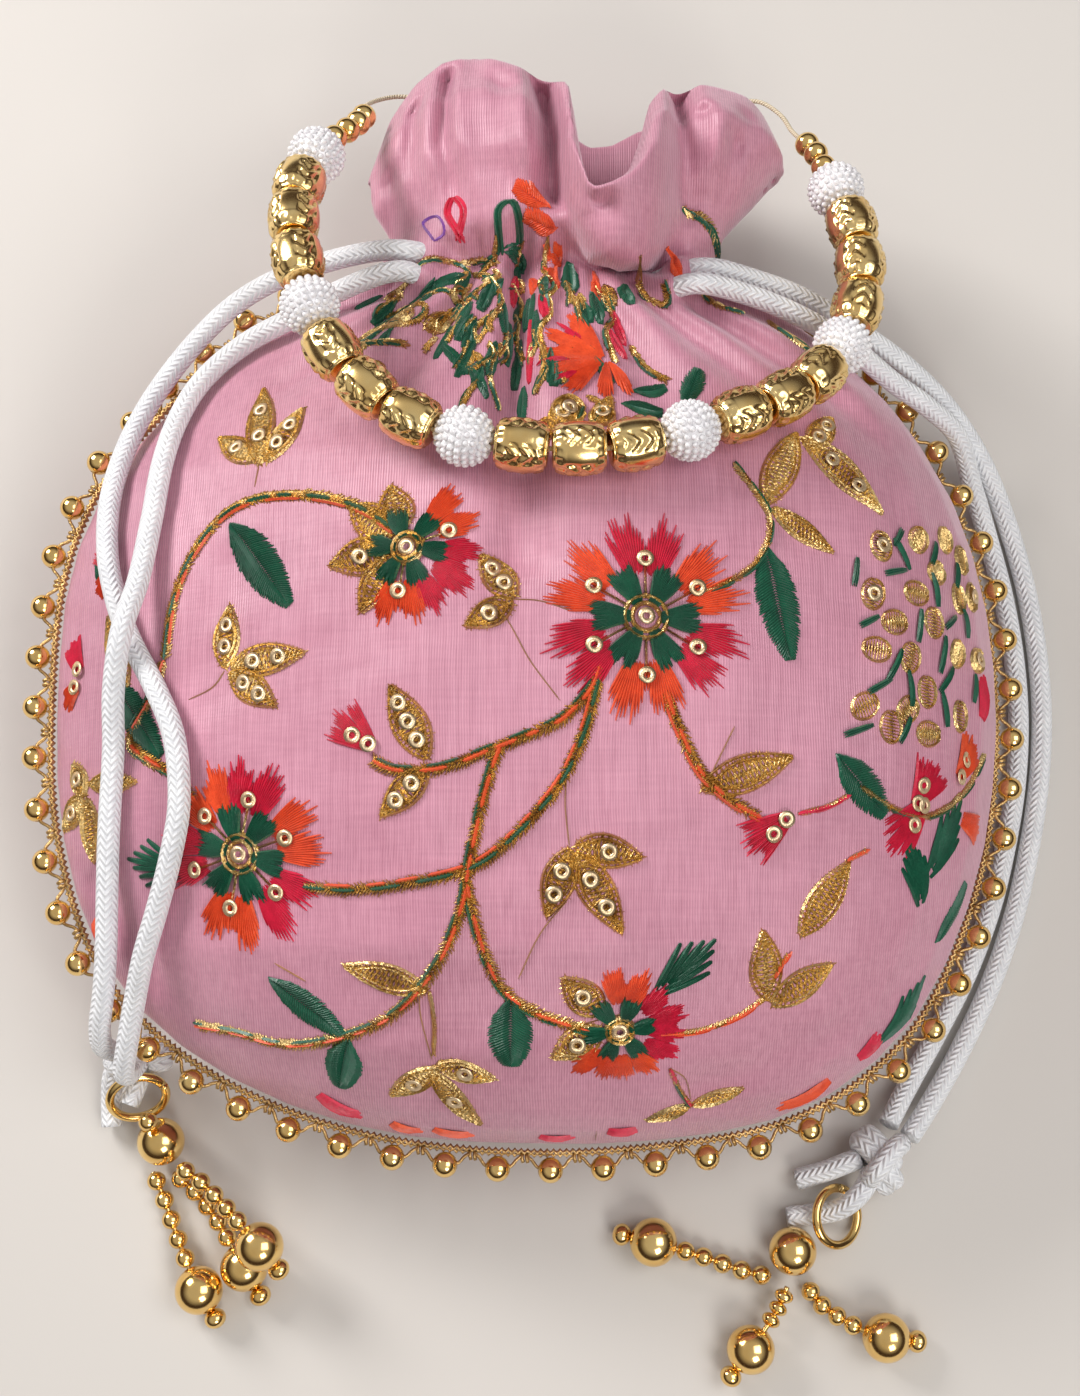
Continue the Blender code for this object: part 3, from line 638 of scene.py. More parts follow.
tone = calc(tree, "MULTIPLY_ADD", calc(tree, "SUBTRACT", bloom, 0.5), 0.6, tone)
tree.links.new(
    shade_between(tree, tone, (0.40, 0.152, 0.222), (0.66, 0.315, 0.415)), shader.inputs["Base Color"]
)
gloss = calc(tree, "MULTIPLY_ADD", threads, -0.08, 0.50)
tree.links.new(gloss, shader.inputs["Roughness"])
shader.inputs["Sheen Weight"].default_value = 0.6
shader.inputs["Sheen Roughness"].default_value = 0.4
shader.inputs["Sheen Tint"].default_value = (1.0, 0.85, 0.95, 1)
tree.links.new(bump(tree, threads, 0.4, 0.00025), shader.inputs["Normal"])
cloth.data.materials.clear()
cloth.data.materials.append(dupion)
assign(cloth, "bag", "pink_dupion", "front_panel", "back_panel")

# ---- Embroidery ----
# Machine embroidery on the front: satin stitches in crimson, orange and green silk, with gilt
# thread couched into leaves and vines, and small gilt sequins. Every thread is laid on the cloth.
STITCH_WIDTH = 0.55
STITCH_RISE = 0.40
GILT_WIDTH = 0.62
GILT_RISE = 0.42
SEQUIN_RADIUS = 1.65
THREAD_COLOURS = {
    "crimson": ((0.40, 0.004, 0.026), (0.78, 0.014, 0.070)),
    "orange": ((0.55, 0.040, 0.010), (0.92, 0.130, 0.032)),
    "green": ((0.000, 0.050, 0.026), (0.004, 0.125, 0.062)),
    "violet": ((0.16, 0.05, 0.30), (0.26, 0.10, 0.45)),
}
skin = BVHTree.FromObject(cloth, bpy.context.evaluated_depsgraph_get())
stitches = {name: ([], []) for name in (*THREAD_COLOURS, "gilt", "sequin", "fine")}
hand = random.Random(11)


def on_front(x, y):
    """The point of the front cloth above a place in plan, and the cloth's direction there."""
    hit, normal, _, _ = skin.ray_cast(Vector((x * MM, y * MM, 0.2)), Vector((0, 0, -1)))
    if hit is None:
        hit, normal, _, _ = skin.find_nearest(Vector((x, y, 34)) * MM)
    return hit, normal


def patch(x, y, turn=0.0):
    """Returns a function that lays flat motif coordinates, in millimetres, onto the cloth here."""
    centre, normal = on_front(x, y)
    east = (Vector((1, 0, 0)) - normal * normal.x).normalized()
    north = normal.cross(east)
    c, s = math.cos(math.radians(turn)), math.sin(math.radians(turn))

    def lay(u, v, lift=0.0):
        flat = centre + (east * (u * c - v * s) + north * (u * s + v * c)) * MM
        near, up, _, _ = skin.find_nearest(flat)
        return near + up * lift * MM, up
    return lay


def lay_thread(colour, points, width, rise):
    """One closed thread of three-sided section through (point, normal) pairs, with thin ends."""
    verts, faces = stitches[colour]
    first = len(verts)
    last = len(points) - 1
    for index, (here, up) in enumerate(points):
        ahead = points[min(index + 1, last)][0] - points[max(index - 1, 0)][0]
        side = ahead.cross(up).normalized()
        taper = 0.4 if index in (0, last) else 1.0
        low = here - up * 0.12 * MM
        verts.append(low + side * width * taper * MM / 2)
        verts.append(here + up * rise * taper * MM)
        verts.append(low - side * width * taper * MM / 2)
    for index in range(last):
        a = first + 3 * index
        for edge in range(3):
            after = (edge + 1) % 3
            faces.append((a + edge, a + 3 + edge, a + 3 + after, a + after))
    faces.append((first, first + 1, first + 2))
    end = first + 3 * last
    faces.append((end + 2, end + 1, end))


def stitch(colour, lay, start, end, lift=0.1, width=STITCH_WIDTH, rise=STITCH_RISE, steps=4):
    """A satin stitch from one motif point to another, padded up in the middle."""
    points = []
    for index in range(steps + 1):
        t = index / steps
        u = start[0] + (end[0] - start[0]) * t
        v = start[1] + (end[1] - start[1]) * t
        points.append(lay(u, v, lift + 0.28 * math.sin(math.pi * t)))
    lay_thread(colour, points, width, rise)


def polar(radius, degrees):
    return radius * math.cos(math.radians(degrees)), radius * math.sin(math.radians(degrees))


def serrated_lobe(lay, colour, angle, start, reach, spread, strands, lift=0.1):
    """A fan of stitches with a ragged outer edge, as one lobe of a petal."""
    for index in range(strands):
        t = (index + 0.5) / strands * 2 - 1
        tip = reach * (1 - 0.22 * t * t) * hand.uniform(0.84, 1.04)
        base = start * hand.uniform(0.94, 1.06)
        root = polar(base, angle + t * spread * 0.8)
        stitch(colour, lay, root, polar(tip, angle + t * spread), lift)


def sequin(lay, u, v, radius=SEQUIN_RADIUS, lift=0.75):
    """A small gilt cup with a hole."""
    verts, faces = stitches["sequin"]
    centre, up = lay(u, v, lift)
    east = up.orthogonal().normalized()
    north = up.cross(east)
    tip = Vector((hand.uniform(-0.1, 0.1), hand.uniform(-0.1, 0.1), 1)).normalized()
    up = (east * tip.x + north * tip.y + up * tip.z).normalized()
    east = (east - up * east.dot(up)).normalized()
    north = up.cross(east)
    rings = [(0.38, 0.04), (1.0, 0.10), (0.97, -0.02), (0.38, -0.08)]
    sides = 14
    first = len(verts)
    for share, height in rings:
        for turn in range(sides):
            angle = 2 * math.pi * turn / sides
            arm = east * math.cos(angle) + north * math.sin(angle)
            verts.append(centre + arm * share * radius * MM + up * height * MM)
    for ring in range(4):
        after = (ring + 1) % 4
        for turn in range(sides):
            turned = (turn + 1) % sides
            faces.append((
                first + ring * sides + turn, first + ring * sides + turned,
                first + after * sides + turned, first + after * sides + turn,
            ))


def gilt_run(lay, points, width=GILT_WIDTH, rise=GILT_RISE, lift=0.15, closed=False):
    """A couched thread through motif points, with the small waves of a twisted gilt cord."""
    path = smooth_path([(u, v, 0) for u, v in points], 0.75, closed)
    run = []
    for index, p in enumerate(path):
        run.append(lay(p.x / MM, p.y / MM, lift + 0.10 * (index % 2)))
    lay_thread("gilt", run, width, rise)


def outline(half_width, length):
    """Points round a leaf that starts at the origin and runs along U."""
    upper = []
    for index in range(9):
        s = index / 8
        wide = half_width * math.sin(math.pi * s ** 0.85) ** 0.9 if 0 < index < 8 else 0
        upper.append((length * s, wide))
    return upper + [(u, -v) for u, v in upper[-2:0:-1]]


def leaf_frame(base, tip):
    """The patch at a leaf's middle, turned along it, the leaf's length, and its base's U."""
    middle = ((base[0] + tip[0]) / 2, (base[1] + tip[1]) / 2)
    turn = math.degrees(math.atan2(tip[1] - base[1], tip[0] - base[0]))
    root, _ = on_front(*base)
    end, _ = on_front(*tip)
    length = (end - root).length / MM
    return patch(*middle, turn), length, -length / 2


def gilt_leaf(base, tip, width, sequins):
    """A leaf of zigzag gilt thread inside a double outline, with a row of sequins."""
    lay, length, start = leaf_frame(base, tip)
    for scale in (1.0, 0.72):
        points = outline(width / 2 * scale, length * scale)
        inset = length * (1 - scale) / 2
        gilt_run(lay, [(u + start + inset, v) for u, v in points], closed=True)
    count = int(length / 0.44)
    for index in range(1, count):
        s = index / count
        wide = width / 2 * math.sin(math.pi * s ** 0.85) ** 0.9
        u = start + length * s
        way = 1 if index % 2 else -1
        ragged = wide * hand.uniform(1.0, 1.16)
        lean = 1.1 * hand.uniform(0.6, 1.2)
        stitch("gilt", lay, (u - lean, -way * ragged), (u + lean, way * ragged), 0.0, 0.55, 0.28, 3)
    for index in range(sequins):
        s = (index + 1) / (sequins + 1) if sequins > 1 else 0.5
        sequin(lay, start + length * s, 0)


def silk_leaf(base, tip, width, colour="green"):
    """A satin leaf: stitches slant forward from the rib to both edges."""
    lay, length, start = leaf_frame(base, tip)
    count = int(length / 0.5)
    for index in range(count):
        s = (index + 0.5) / count
        wide = width / 2 * math.sin(math.pi * min(1.0, s ** 0.8 * 0.96 + 0.04)) ** 0.75
        for way in (-1, 1):
            u = start + length * s
            lean = min(1.6, length * (1 - s))
            ragged = hand.uniform(0.92, 1.06)
            end = (u + lean, way * wide * ragged)
            stitch(colour, lay, (u - 0.6, -0.1 * way), end, 0.12, 0.66, 0.32, 3)


def spray(base, tip, width):
    """Seven narrow green leaflets that fan out from a stalk, each of four stitches."""
    lay, length, start = leaf_frame(base, tip)
    for index in range(7):
        t = index / 6 * 2 - 1
        reach = length * (1 - 0.35 * abs(t))
        root = start + length * 0.25 * (1 - abs(t))
        for strand in (-0.6, -0.2, 0.2, 0.6):
            end = (start + reach - 0.5 * abs(strand), t * width / 2 + strand * 0.5)
            stitch("green", lay, (root, t * 0.8 + strand * 0.5), end, 0.15, 0.6)


def flower(x, y, reach, turn, petals, spots):
    """Six two-lobed petals of ragged stitches round six green leaves and a couched gilt ring."""
    lay = patch(x, y, turn)
    for angle, colour in petals:
        for half in (-1, 1):
            serrated_lobe(lay, colour, angle + half * 13.5, reach * 0.42, reach, 13.5, 14)
    for index in range(6):
        for half in (-1, 1):
            angle = 60 * index + half * 9
            serrated_lobe(lay, "green", angle, reach * 0.13, reach * 0.56, 10, 11, 0.35)
    for share in (0.2, 0.13):
        ring = [polar(reach * share, 45 * index) for index in range(8)]
        gilt_run(lay, ring, 1.0, 0.6, 0.5, closed=True)
    sequin(lay, 0, 0, lift=1.0)
    for index in spots:
        angle = 90 + 60 * index
        gilt_run(lay, [polar(reach * 0.2, angle), polar(reach * 0.55, angle)], 0.5, 0.4, 0.5)
        sequin(lay, *polar(reach * 0.55, angle), lift=0.95)


def on_route(points, step):
    """(point, normal) pairs on the cloth along a route in plan."""
    return [on_front(p.x / MM, p.y / MM) for p in smooth_path([(*p, 0) for p in points], step)]


def vine(points, cores, half_width=1.35):
    """A stem of short gilt stitches slanting out on both sides of a patchy coloured core."""
    route = on_route(points, 0.62)
    last = len(route) - 1
    sides = []
    for index, (here, up) in enumerate(route):
        ahead = route[min(index + 1, last)][0] - route[max(index - 1, 0)][0]
        sides.append(ahead.cross(up).normalized())
    for way in (-1, 1):
        for index in range(last - 2):
            root, up = route[index]
            reach = half_width * hand.uniform(0.8, 1.2)
            root = root - sides[index] * way * 0.25 * MM
            end = route[index + 2][0] + sides[index + 2] * way * reach * MM
            run = [(root + up * 0.25 * MM, up), ((root + end) / 2 + up * 0.38 * MM, up)]
            run.append((end + up * 0.12 * MM, up))
            lay_thread("gilt", run, 0.55, 0.36)
    for core, offset, lead in zip(cores, (0.0, half_width * 0.62), (0, 5)):
        index = lead
        while index < last - 3:
            length = hand.randint(5, 13)
            run = []
            for (here, up), side in zip(route[index:index + length], sides[index:]):
                run.append((here + side * offset * MM + up * 0.42 * MM, up))
            if len(run) > 1:
                lay_thread(core, run, 0.85 if offset == 0 else 0.6, 0.42)
            index += length + hand.randint(1, 4)


def surface_line(points, colour, width, step=0.8, lift=0.15, rise=0.45):
    """One thread that lies along a route in plan."""
    route = on_route(points, step)
    lay_thread(colour, [(here + up * lift * MM, up) for here, up in route], width, rise)


def gilt_bud(x, y, turn, with_sequin):
    """A small oval bud: a couched outline over a zigzag filling."""
    wide, long = 2.4, 3.1
    lay = patch(x, y, turn)
    ring = [(long * math.cos(a * math.pi / 4), wide * math.sin(a * math.pi / 4)) for a in range(8)]
    gilt_run(lay, ring, closed=True)
    for index in range(-4, 5):
        u = index * long / 5
        v = wide * math.sqrt(1 - (u / long) ** 2) * 0.95
        stitch("gilt", lay, (u - 0.3, -v), (u + 0.3, v), 0.0, 0.5, 0.3, 2)
    if with_sequin:
        sequin(lay, 0, 0, lift=0.8)


def fan_bud(base, tip, width, colour, sequins):
    """A half-open bud: three ragged lobes on a gilt cup."""
    lay, length, start = leaf_frame(base, tip)
    for lobe in (-1, 0, 1):
        for index in range(8):
            t = (index + 0.5) / 8 * 2 - 1
            root = (start + length * 0.2, lobe * 1.0 + t * 0.4)
            end_v = lobe * width * 0.36 + t * width * 0.17
            end = (start + length * hand.uniform(0.86, 1.02) * (1 - 0.1 * abs(lobe)), end_v)
            stitch(colour, lay, root, end)
    for index in range(sequins):
        sequin(lay, start + length * (0.22 + 0.28 * index), 0.8 * (index % 2))


# Each flower: its place, reach and turn, its crimson and orange petals by angle, its sequins.
FLOWERS = [
    (21.7, 6.4, 20.6, 0, "90c 30o -30c -90o -150c 150o", range(6)),
    (-54.5, -36.3, 19.0, -11, "90c 30o -30c -90o -165c 140o", range(6)),
    (-22.9, 20.3, 15.6, -10, "48o -8c -40c -88o", (3, 5)),
    (16.8, -69.1, 13.2, 8, "75o 20c -25c -80o -125o", ()),
]
for x, y, reach, turn, petals, spots in FLOWERS:
    colours = {"c": "crimson", "o": "orange"}
    petals = [(int(petal[:-1]), colours[petal[-1]]) for petal in petals.split()]
    flower(x, y, reach, turn, petals, spots)

SILK_LEAVES = [
    ((-58.6, 28.4), (-45.6, 10.6), 8.6), ((44.6, 21), (49, -1.0), 8.4),
    ((-49.6, -60), (-34.6, -69.2), 6.6), ((-34.6, -70.8), (-36.4, -80), 7.6),
    ((-3.4, -63.8), (-3.6, -76.4), 8.4), ((-84, -0.4), (-71, -16), 7.4),
    ((57.6, -18.6), (67.6, -29), 7.6), ((80, -47.6), (88, -43.6), 5.4),
    ((-88.6, 22), (-85.4, 31), 6.0),
]
for base, tip, width in SILK_LEAVES:
    silk_leaf(base, tip, width)
SPRAYS = [
    ((24.0, -62.4), (34.4, -52.6), 8), ((75.6, -37.6), (86.4, -26), 9),
    ((68.4, -70), (80, -60), 8), ((-66.8, -37.4), (-79, -37), 9), ((76, -45), (72, -33), 6),
]
for base, tip, width in SPRAYS:
    spray(base, tip, width)

GILT_LEAVES = [
    ((-53.4, 41), (-54.4, 60.4), 6.4, 2), ((-54.4, 41.4), (-62.4, 49.4), 5.4, 1),
    ((-52.4, 41.4), (-44.6, 52.6), 5.8, 2),
    ((-58.6, -0.6), (-58.0, 12.0), 6.0, 2), ((-57.6, -1.6), (-47.8, -8.8), 5.8, 2),
    ((-57.4, -0.4), (-42.6, 1.2), 6.0, 2),
    ((-18.6, -20.2), (-26.0, -6.2), 6.8, 3), ((-18.6, -21.8), (-27.4, -30.6), 5.6, 2),
    ((-2.4, 10.4), (-9.4, 18.6), 6.2, 2), ((-3.0, 9.6), (-12.0, 4.6), 5.2, 1),
    ((31.6, -25.6), (49.2, -19.4), 6.6, 0),
    ((7.4, -36.6), (3.2, -49.0), 6.0, 2), ((8.4, -36.0), (20.8, -38.4), 6.0, 1),
    ((8.4, -37.4), (17.0, -52.0), 6.4, 2),
    ((44.4, -63.8), (43.4, -51.0), 6.2, 0), ((45.0, -63.8), (57.4, -57.4), 6.2, 0),
    ((50.0, -51.6), (60.4, -38.4), 6.6, 0), ((-18.6, -61.2), (-34.6, -57.8), 5.6, 0),
    ((-88.6, -22), (-92.6, -16), 5.4, 1), ((-88.4, -23), (-87.0, -35.8), 5.6, 0),
    ((-89.4, -23), (-94.8, -28), 5.4, 1), ((-88, -21), (-77, -20.4), 4.4, 0),
    ((45.0, 30), (52.6, 46.6), 6.6, 0), ((53, 45), (69.8, 31.2), 7.0, 2),
    ((46, 28.8), (58.4, 21.6), 4.6, 0), ((55, 43), (60, 51), 5.2, 2),
    ((-18.4, -75.4), (-25.6, -82.0), 5.2, 1), ((-17.6, -75.6), (-6.4, -77.8), 5.2, 1),
    ((-17.6, -76.4), (-10.8, -87.4), 4.6, 1),
    ((13.4, -66.6), (6.4, -59.6), 6.4, 1), ((13.2, -68.6), (4.6, -74.6), 6.6, 1),
    ((30.6, -83.2), (22.6, -86.0), 3.6, 0), ((31.2, -83.0), (41.0, -79.8), 3.6, 0),
    ((-79.4, -2.0), (-85.6, 13.2), 6.0, 1), ((-24.4, 23.6), (-26.6, 33.4), 7.2, 0),
    ((-25.6, 23), (-34.4, 29.6), 7.2, 0), ((-26.4, 21), (-38, 17.6), 7.4, 1),
    ((-26, 19), (-32, 8.4), 6.6, 0),
    ((-36, 68), (-27.6, 74.6), 5.0, 0), ((-22, 70), (-13.6, 75.4), 5.0, 0),
    ((4.2, 44), (8.4, 51.6), 4.6, 1), ((12.4, 45), (15.8, 52), 4.0, 1),
]
for base, tip, width, sequins in GILT_LEAVES:
    gilt_leaf(base, tip, width, sequins)

VINES = [
    ([(13.1, -2.9), (11.2, -7.7), (5.7, -13.3), (-1.7, -16.6), (-8.1, -19.1), (-16.4, -22.0),
      (-24.7, -22.1), (-30.0, -19.6)], ("orange", "green")),
    ([(-5.3, -17.9), (-7.2, -23.4), (-9.3, -31.5), (-11.2, -40.5), (-12.3, -46.8), (-16.4, -56.6),
      (-24.1, -65.4), (-33.8, -69.9), (-46.0, -71.6), (-57.3, -69.1), (-66.0, -67.6)],
     ("orange", "green")),
    ([(12.9, -5.4), (10.3, -15.1), (6.0, -24.3), (-1.6, -33.4), (-10.8, -40.1), (-23.8, -43.0),
      (-34.1, -43.7), (-42.8, -42.7)], ("green", "orange")),
    ([(-11.4, -43), (-9.0, -53.0), (-5.4, -61.0), (0.2, -65.5), (7.6, -68.2), (12, -69.1)],
     ("orange", "green")),
    ([(25.1, -7.5), (27.8, -14.9), (31.4, -22.2), (37.0, -27.6), (43.0, -30.8)],
     ("orange", "orange")),
    ([(-71.3, 2.3), (-70.3, 12.4), (-66.9, 22.3), (-59.9, 30.6), (-50.7, 33.4), (-40.4, 32.1),
      (-31.4, 28.5), (-25.5, 24.1)], ("green", "orange")),
    ([(-71.3, 2.3), (-74.4, -5.2), (-78.6, -12.6), (-74.0, -17.1), (-68.5, -20.5),
      (-64, -26)], ("orange", "green")),
]
for points, cores in VINES:
    vine(points, cores)
STALKS = [
    ([(31.0, 10.8), (37.6, 13.6), (43.6, 18.6), (45.9, 26.6), (42.2, 33.7), (39, 38)],
     ("gilt", "green"), 0.8),
    ([(24, -69.8), (31.8, -69.1), (39.3, -66.3), (44.4, -62.7)], ("orange", "orange"), 0.6),
    ([(45.6, -59.5), (48.5, -54.5)], ("orange", "orange"), 0.5),
    ([(59.4, -37.9), (64, -35.6)], ("orange", "orange"), 0.5),
    ([(49.8, -29.8), (55.0, -28.4), (60.1, -25.8)], ("crimson", "crimson"), 0.5),
    ([(62, -24), (70, -28), (78, -28), (86, -22), (91, -14)], ("gilt", "green"), 0.8),
]
for points, cores, half_width in STALKS:
    vine(points, cores, half_width)

FAN_BUDS = [
    ((-27.6, -18.8), (-36.8, -10.8), 9.0, "crimson", 2),
    ((49.8, -29.4), (39.4, -36.4), 9.0, "crimson", 2),
    ((78, -24.6), (67.4, -35.0), 9.6, "crimson", 2), ((72, -28), (79.4, -18.2), 10.0, "crimson", 2),
    ((82, -21), (89.4, -12.8), 8.0, "orange", 2), ((84.4, -27), (90.4, -30), 6.0, "orange", 0),
    ((89.6, -9), (92.8, 1.6), 6.0, "crimson", 0), ((60, -81.6), (53.6, -84.6), 6.0, "orange", 0),
    ((63, -74), (70, -70.4), 5.0, "crimson", 0), ((-43, -80), (-33.4, -86.0), 5.0, "crimson", 0),
    ((-28, -86), (-22.0, -88.6), 4.0, "orange", 0),
    ((-20.2, -87.0), (-11.6, -89.4), 4.0, "orange", 0),
    ((1, -88.6), (8.0, -89.8), 3.6, "crimson", 0), ((14, -87.6), (21.0, -88.4), 3.6, "crimson", 0),
    ((-90.4, 2), (-94.6, 10), 6.0, "crimson", 1), ((-91, 0.4), (-95.4, -3), 5.4, "orange", 1),
    ((-84.4, 24), (-89.6, 28.6), 5.0, "crimson", 0), ((-83.4, 22), (-88.6, 19.6), 5.0, "orange", 0),
    ((-88.8, -46.4), (-84.0, -50.4), 5.0, "orange", 0),
]
for base, tip, width, colour, sequins in FAN_BUDS:
    fan_bud(base, tip, width, colour, sequins)

GILT_BUDS = [
    (68.3, 23.6, 90, True), (66.1, 13.6, 80, True), (66.3, 2.5, 0, False), (76.8, 26.6, 60, False),
    (75.4, 15.0, 0, False), (73.4, 1.7, 70, False), (79.1, 9.6, 90, False), (63.5, -8.7, 30, False),
    (68.8, -12.3, 90, False), (76.9, -4.5, 90, False), (85.8, 16.4, 90, False),
    (89.6, 17.9, 80, True), (84.5, 4.5, 60, False), (90.0, 4.5, 30, True), (76.9, -12.7, 0, False),
    (84.6, -8.0, 90, False), (83.6, 28.6, 70, False), (87.6, 25.4, 90, False),
    (80.6, 20.4, 40, False), (70.4, 8.4, 10, False), (72.4, -8.6, 40, False),
]
for x, y, turn, with_sequin in GILT_BUDS:
    gilt_bud(x, y, turn, with_sequin)
BUD_STALKS = [
    (72.6, 22.6, -60, 7), (72.0, 26.0, -120, 5), (71.0, 18.6, 20, 6), (75.6, 8.4, 80, 7),
    (69.8, -0.4, 60, 8), (66.6, -4.6, 30, 6), (80.6, 3.4, 75, 8), (73.0, -4.4, 95, 7),
    (81.4, -1.4, 50, 7), (71.6, -12.6, 60, 6), (80.6, -7.4, 100, 7), (62.0, -13.4, 20, 7),
    (79.6, 16.4, 100, 7), (83.0, 10.6, 40, 6), (87.0, 11.4, 100, 6), (80.0, 24.4, 70, 6),
    (85.6, 21.4, 80, 6), (88.4, -1.6, 80, 6), (65.0, 8.0, 30, 5), (62.6, 17.6, 80, 6),
]
for x, y, turn, length in BUD_STALKS:
    lay = patch(x, y, turn)
    for strand in (-0.45, 0, 0.45):
        stitch("green", lay, (-length / 2, strand), (length / 2, strand * 0.6), 0.5, 0.6, 0.35)

THIN_LINES = [
    [(-11, 8), (-5.4, 7.6), (0.2, -2.0), (5.7, -9.6)], [(-4, 10), (2, 9.6), (8, 7.4)],
    [(-20.3, -60), (-20.3, -66), (-18.3, -74.5)], [(7.4, -36.6), (6.6, -28), (7.4, -20)],
    [(-2, -60), (2, -52), (7, -46)], [(-53.4, 41), (-54, 36)], [(-58.6, -1), (-61, -4), (-66, -6)],
    [(38, -14), (33, -24)], [(31, -82), (29.6, -78), (26.4, -76)], [(10, -68), (18, -66)],
    [(-48, -56.6), (-42, -60)], [(13, -90), (13, -88)],
]
for points in THIN_LINES:
    surface_line(points, "fine", 0.35, 1.0, 0.05, 0.25)
vine([(-18.4, -62), (-17.6, -68), (-18.0, -74.4)], ("gilt", "gilt"), 0.35)
vine([(26.4, -76), (28.6, -80), (31, -83)], ("crimson", "green"), 0.5)

# The neck gathers the upper part of the same pattern into its pleats, so only scraps of it show.
NECK_LEAVES = {
    "green": [
        ((-13, 85), (-20, 82), 3.6), ((-22, 76.5), (-32, 75), 3.0), ((-9, 79), (-18, 76), 3.4),
        ((-30, 70), (-37, 67), 3.0), ((-8, 82), (-10, 74), 3.2), ((-6, 78), (-5, 69), 3.4),
        ((-4, 72), (-5, 62), 3.2), ((-2, 66), (-3, 56), 3.0), ((0, 80), (-1, 71), 3.2),
        ((-7, 66), (-8, 57), 3.0), ((-1, 56), (-1.6, 48), 3.2), ((-18, 66), (-12, 58), 2.4),
        ((-12, 60), (-8, 52), 2.4), ((1.5, 74), (1, 66), 2.6), ((8, 88), (8.4, 79), 4.0),
        ((19, 82), (20, 75), 3.8), ((10.6, 73), (12.6, 62), 2.0), ((12.6, 62), (16, 55), 2.0),
        ((30, 50.5), (33.4, 59), 4.6), ((18, 50), (26, 49.4), 4.0), ((20, 53), (27, 55.4), 3.4),
        ((-11, 72), (-13, 64), 2.6),
    ],
    "crimson": [
        ((0.8, 73), (-0.4, 56), 2.6), ((-3, 87), (-4, 78), 2.6), ((17, 75), (18.6, 66), 2.6),
        ((34, 87), (37, 82), 4.2), ((2, 78), (3.4, 72), 3.0), ((15, 70), (19, 62), 2.6),
    ],
    "orange": [
        ((13.6, 86), (13.4, 77), 3.0), ((29, 90), (31, 80), 2.6), ((4, 88), (5, 80), 3.4),
        ((0.6, 86), (1, 81), 3.0),
    ],
}
for colour, leaves in NECK_LEAVES.items():
    for base, tip, width in leaves:
        silk_leaf(base, tip, width, colour)
lay = patch(15, 61)
for angle, reach in ((118, 15), (146, 14), (172, 13.4), (200, 13), (228, 12.4), (268, 11), (300, 10)):
    serrated_lobe(lay, "orange", angle, 1.0, reach, 12, 17, 0.3)
for angle in (132, 186, 214):
    serrated_lobe(lay, "crimson", angle, 7.0, 14.0, 3.6, 5, 0.3)
# Between the named scraps the crumpled stitching runs along the gathers.
NECK_SCATTER = [((-14, 56), (6, 92), 44), ((-36, 66), (-12, 86), 16), ((4, 72), (17, 80), 10)]
for (low_x, low_y), (high_x, high_y), count in NECK_SCATTER:
    for index in range(count):
        x, y = hand.uniform(low_x, high_x), hand.uniform(low_y, high_y)
        heading = Vector((x - 5, y - 112)).normalized()
        half = hand.uniform(2.0, 4.6)
        base = (x - heading.x * half, y - heading.y * half)
        tip = (x + heading.x * half, y + heading.y * half)
        if index % 5 < 2:
            silk_leaf(base, tip, hand.uniform(1.8, 3.0))
        else:
            bend = (x + hand.uniform(-2.4, 2.4), y)
            vine([base, bend, tip], ("gilt", "green"), hand.uniform(0.5, 0.9))
NECK_RINGS = [
    (-26, 73, 2.6), (-17.4, 72.4, 2.8), (-37.4, 63, 3.2), (-40, 70, 2.6), (7.6, 48.8, 3.0),
    (3.4, 44.6, 2.2), (14, 47.6, 2.4), (-31, 60, 2.2), (-2.6, 46, 2.4), (-14.6, 79.6, 2.2),
]
for x, y, radius in NECK_RINGS:
    lay = patch(x, y)
    for share in (1.0, 0.66):
        loop = [polar(radius * share * hand.uniform(0.9, 1.1), 45 * index) for index in range(8)]
        gilt_run(lay, loop, 0.95, 0.6, 0.3, closed=True)
    if radius > 2.9:
        sequin(lay, 0, 0, 1.6, 0.9)
NECK_GILT = [
    [(-25, 84), (-21.6, 88), (-16, 88.6), (-12, 85)], [(-22, 80), (-17, 80), (-13, 76), (-16, 72)],
    [(-12, 86), (-8, 83), (-6, 77), (-8, 71)], [(-4, 84), (-2, 78), (-3, 70), (-1, 62)],
    [(2, 82), (4, 74), (2, 68), (3, 60), (1, 52)], [(9, 78), (10, 70), (8, 62), (6, 54)],
    [(15, 82), (17, 74), (15, 68), (17, 60)], [(22, 84), (24, 79), (28, 77), (27, 82)],
    [(-30, 76), (-25, 78), (-21, 75), (-24, 71), (-30, 72)], [(-6, 66), (-8, 58), (-6, 50)],
    [(49, 76), (54, 70), (60, 66), (63, 60)], [(51, 73), (57, 69), (60, 62)],
    [(11, 52), (14, 50), (13, 46), (9, 46), (10, 50)], [(20, 66), (23, 60), (28, 56)],
    [(34, 84), (38, 79), (44, 76)], [(-36, 68), (-30, 67), (-24, 66)],
    [(-10, 56), (-13, 50), (-11, 44)], [(-15, 88), (-10, 90), (-6, 88)],
]
for points in NECK_GILT:
    vine(points, ("gilt", "green"), 0.8)

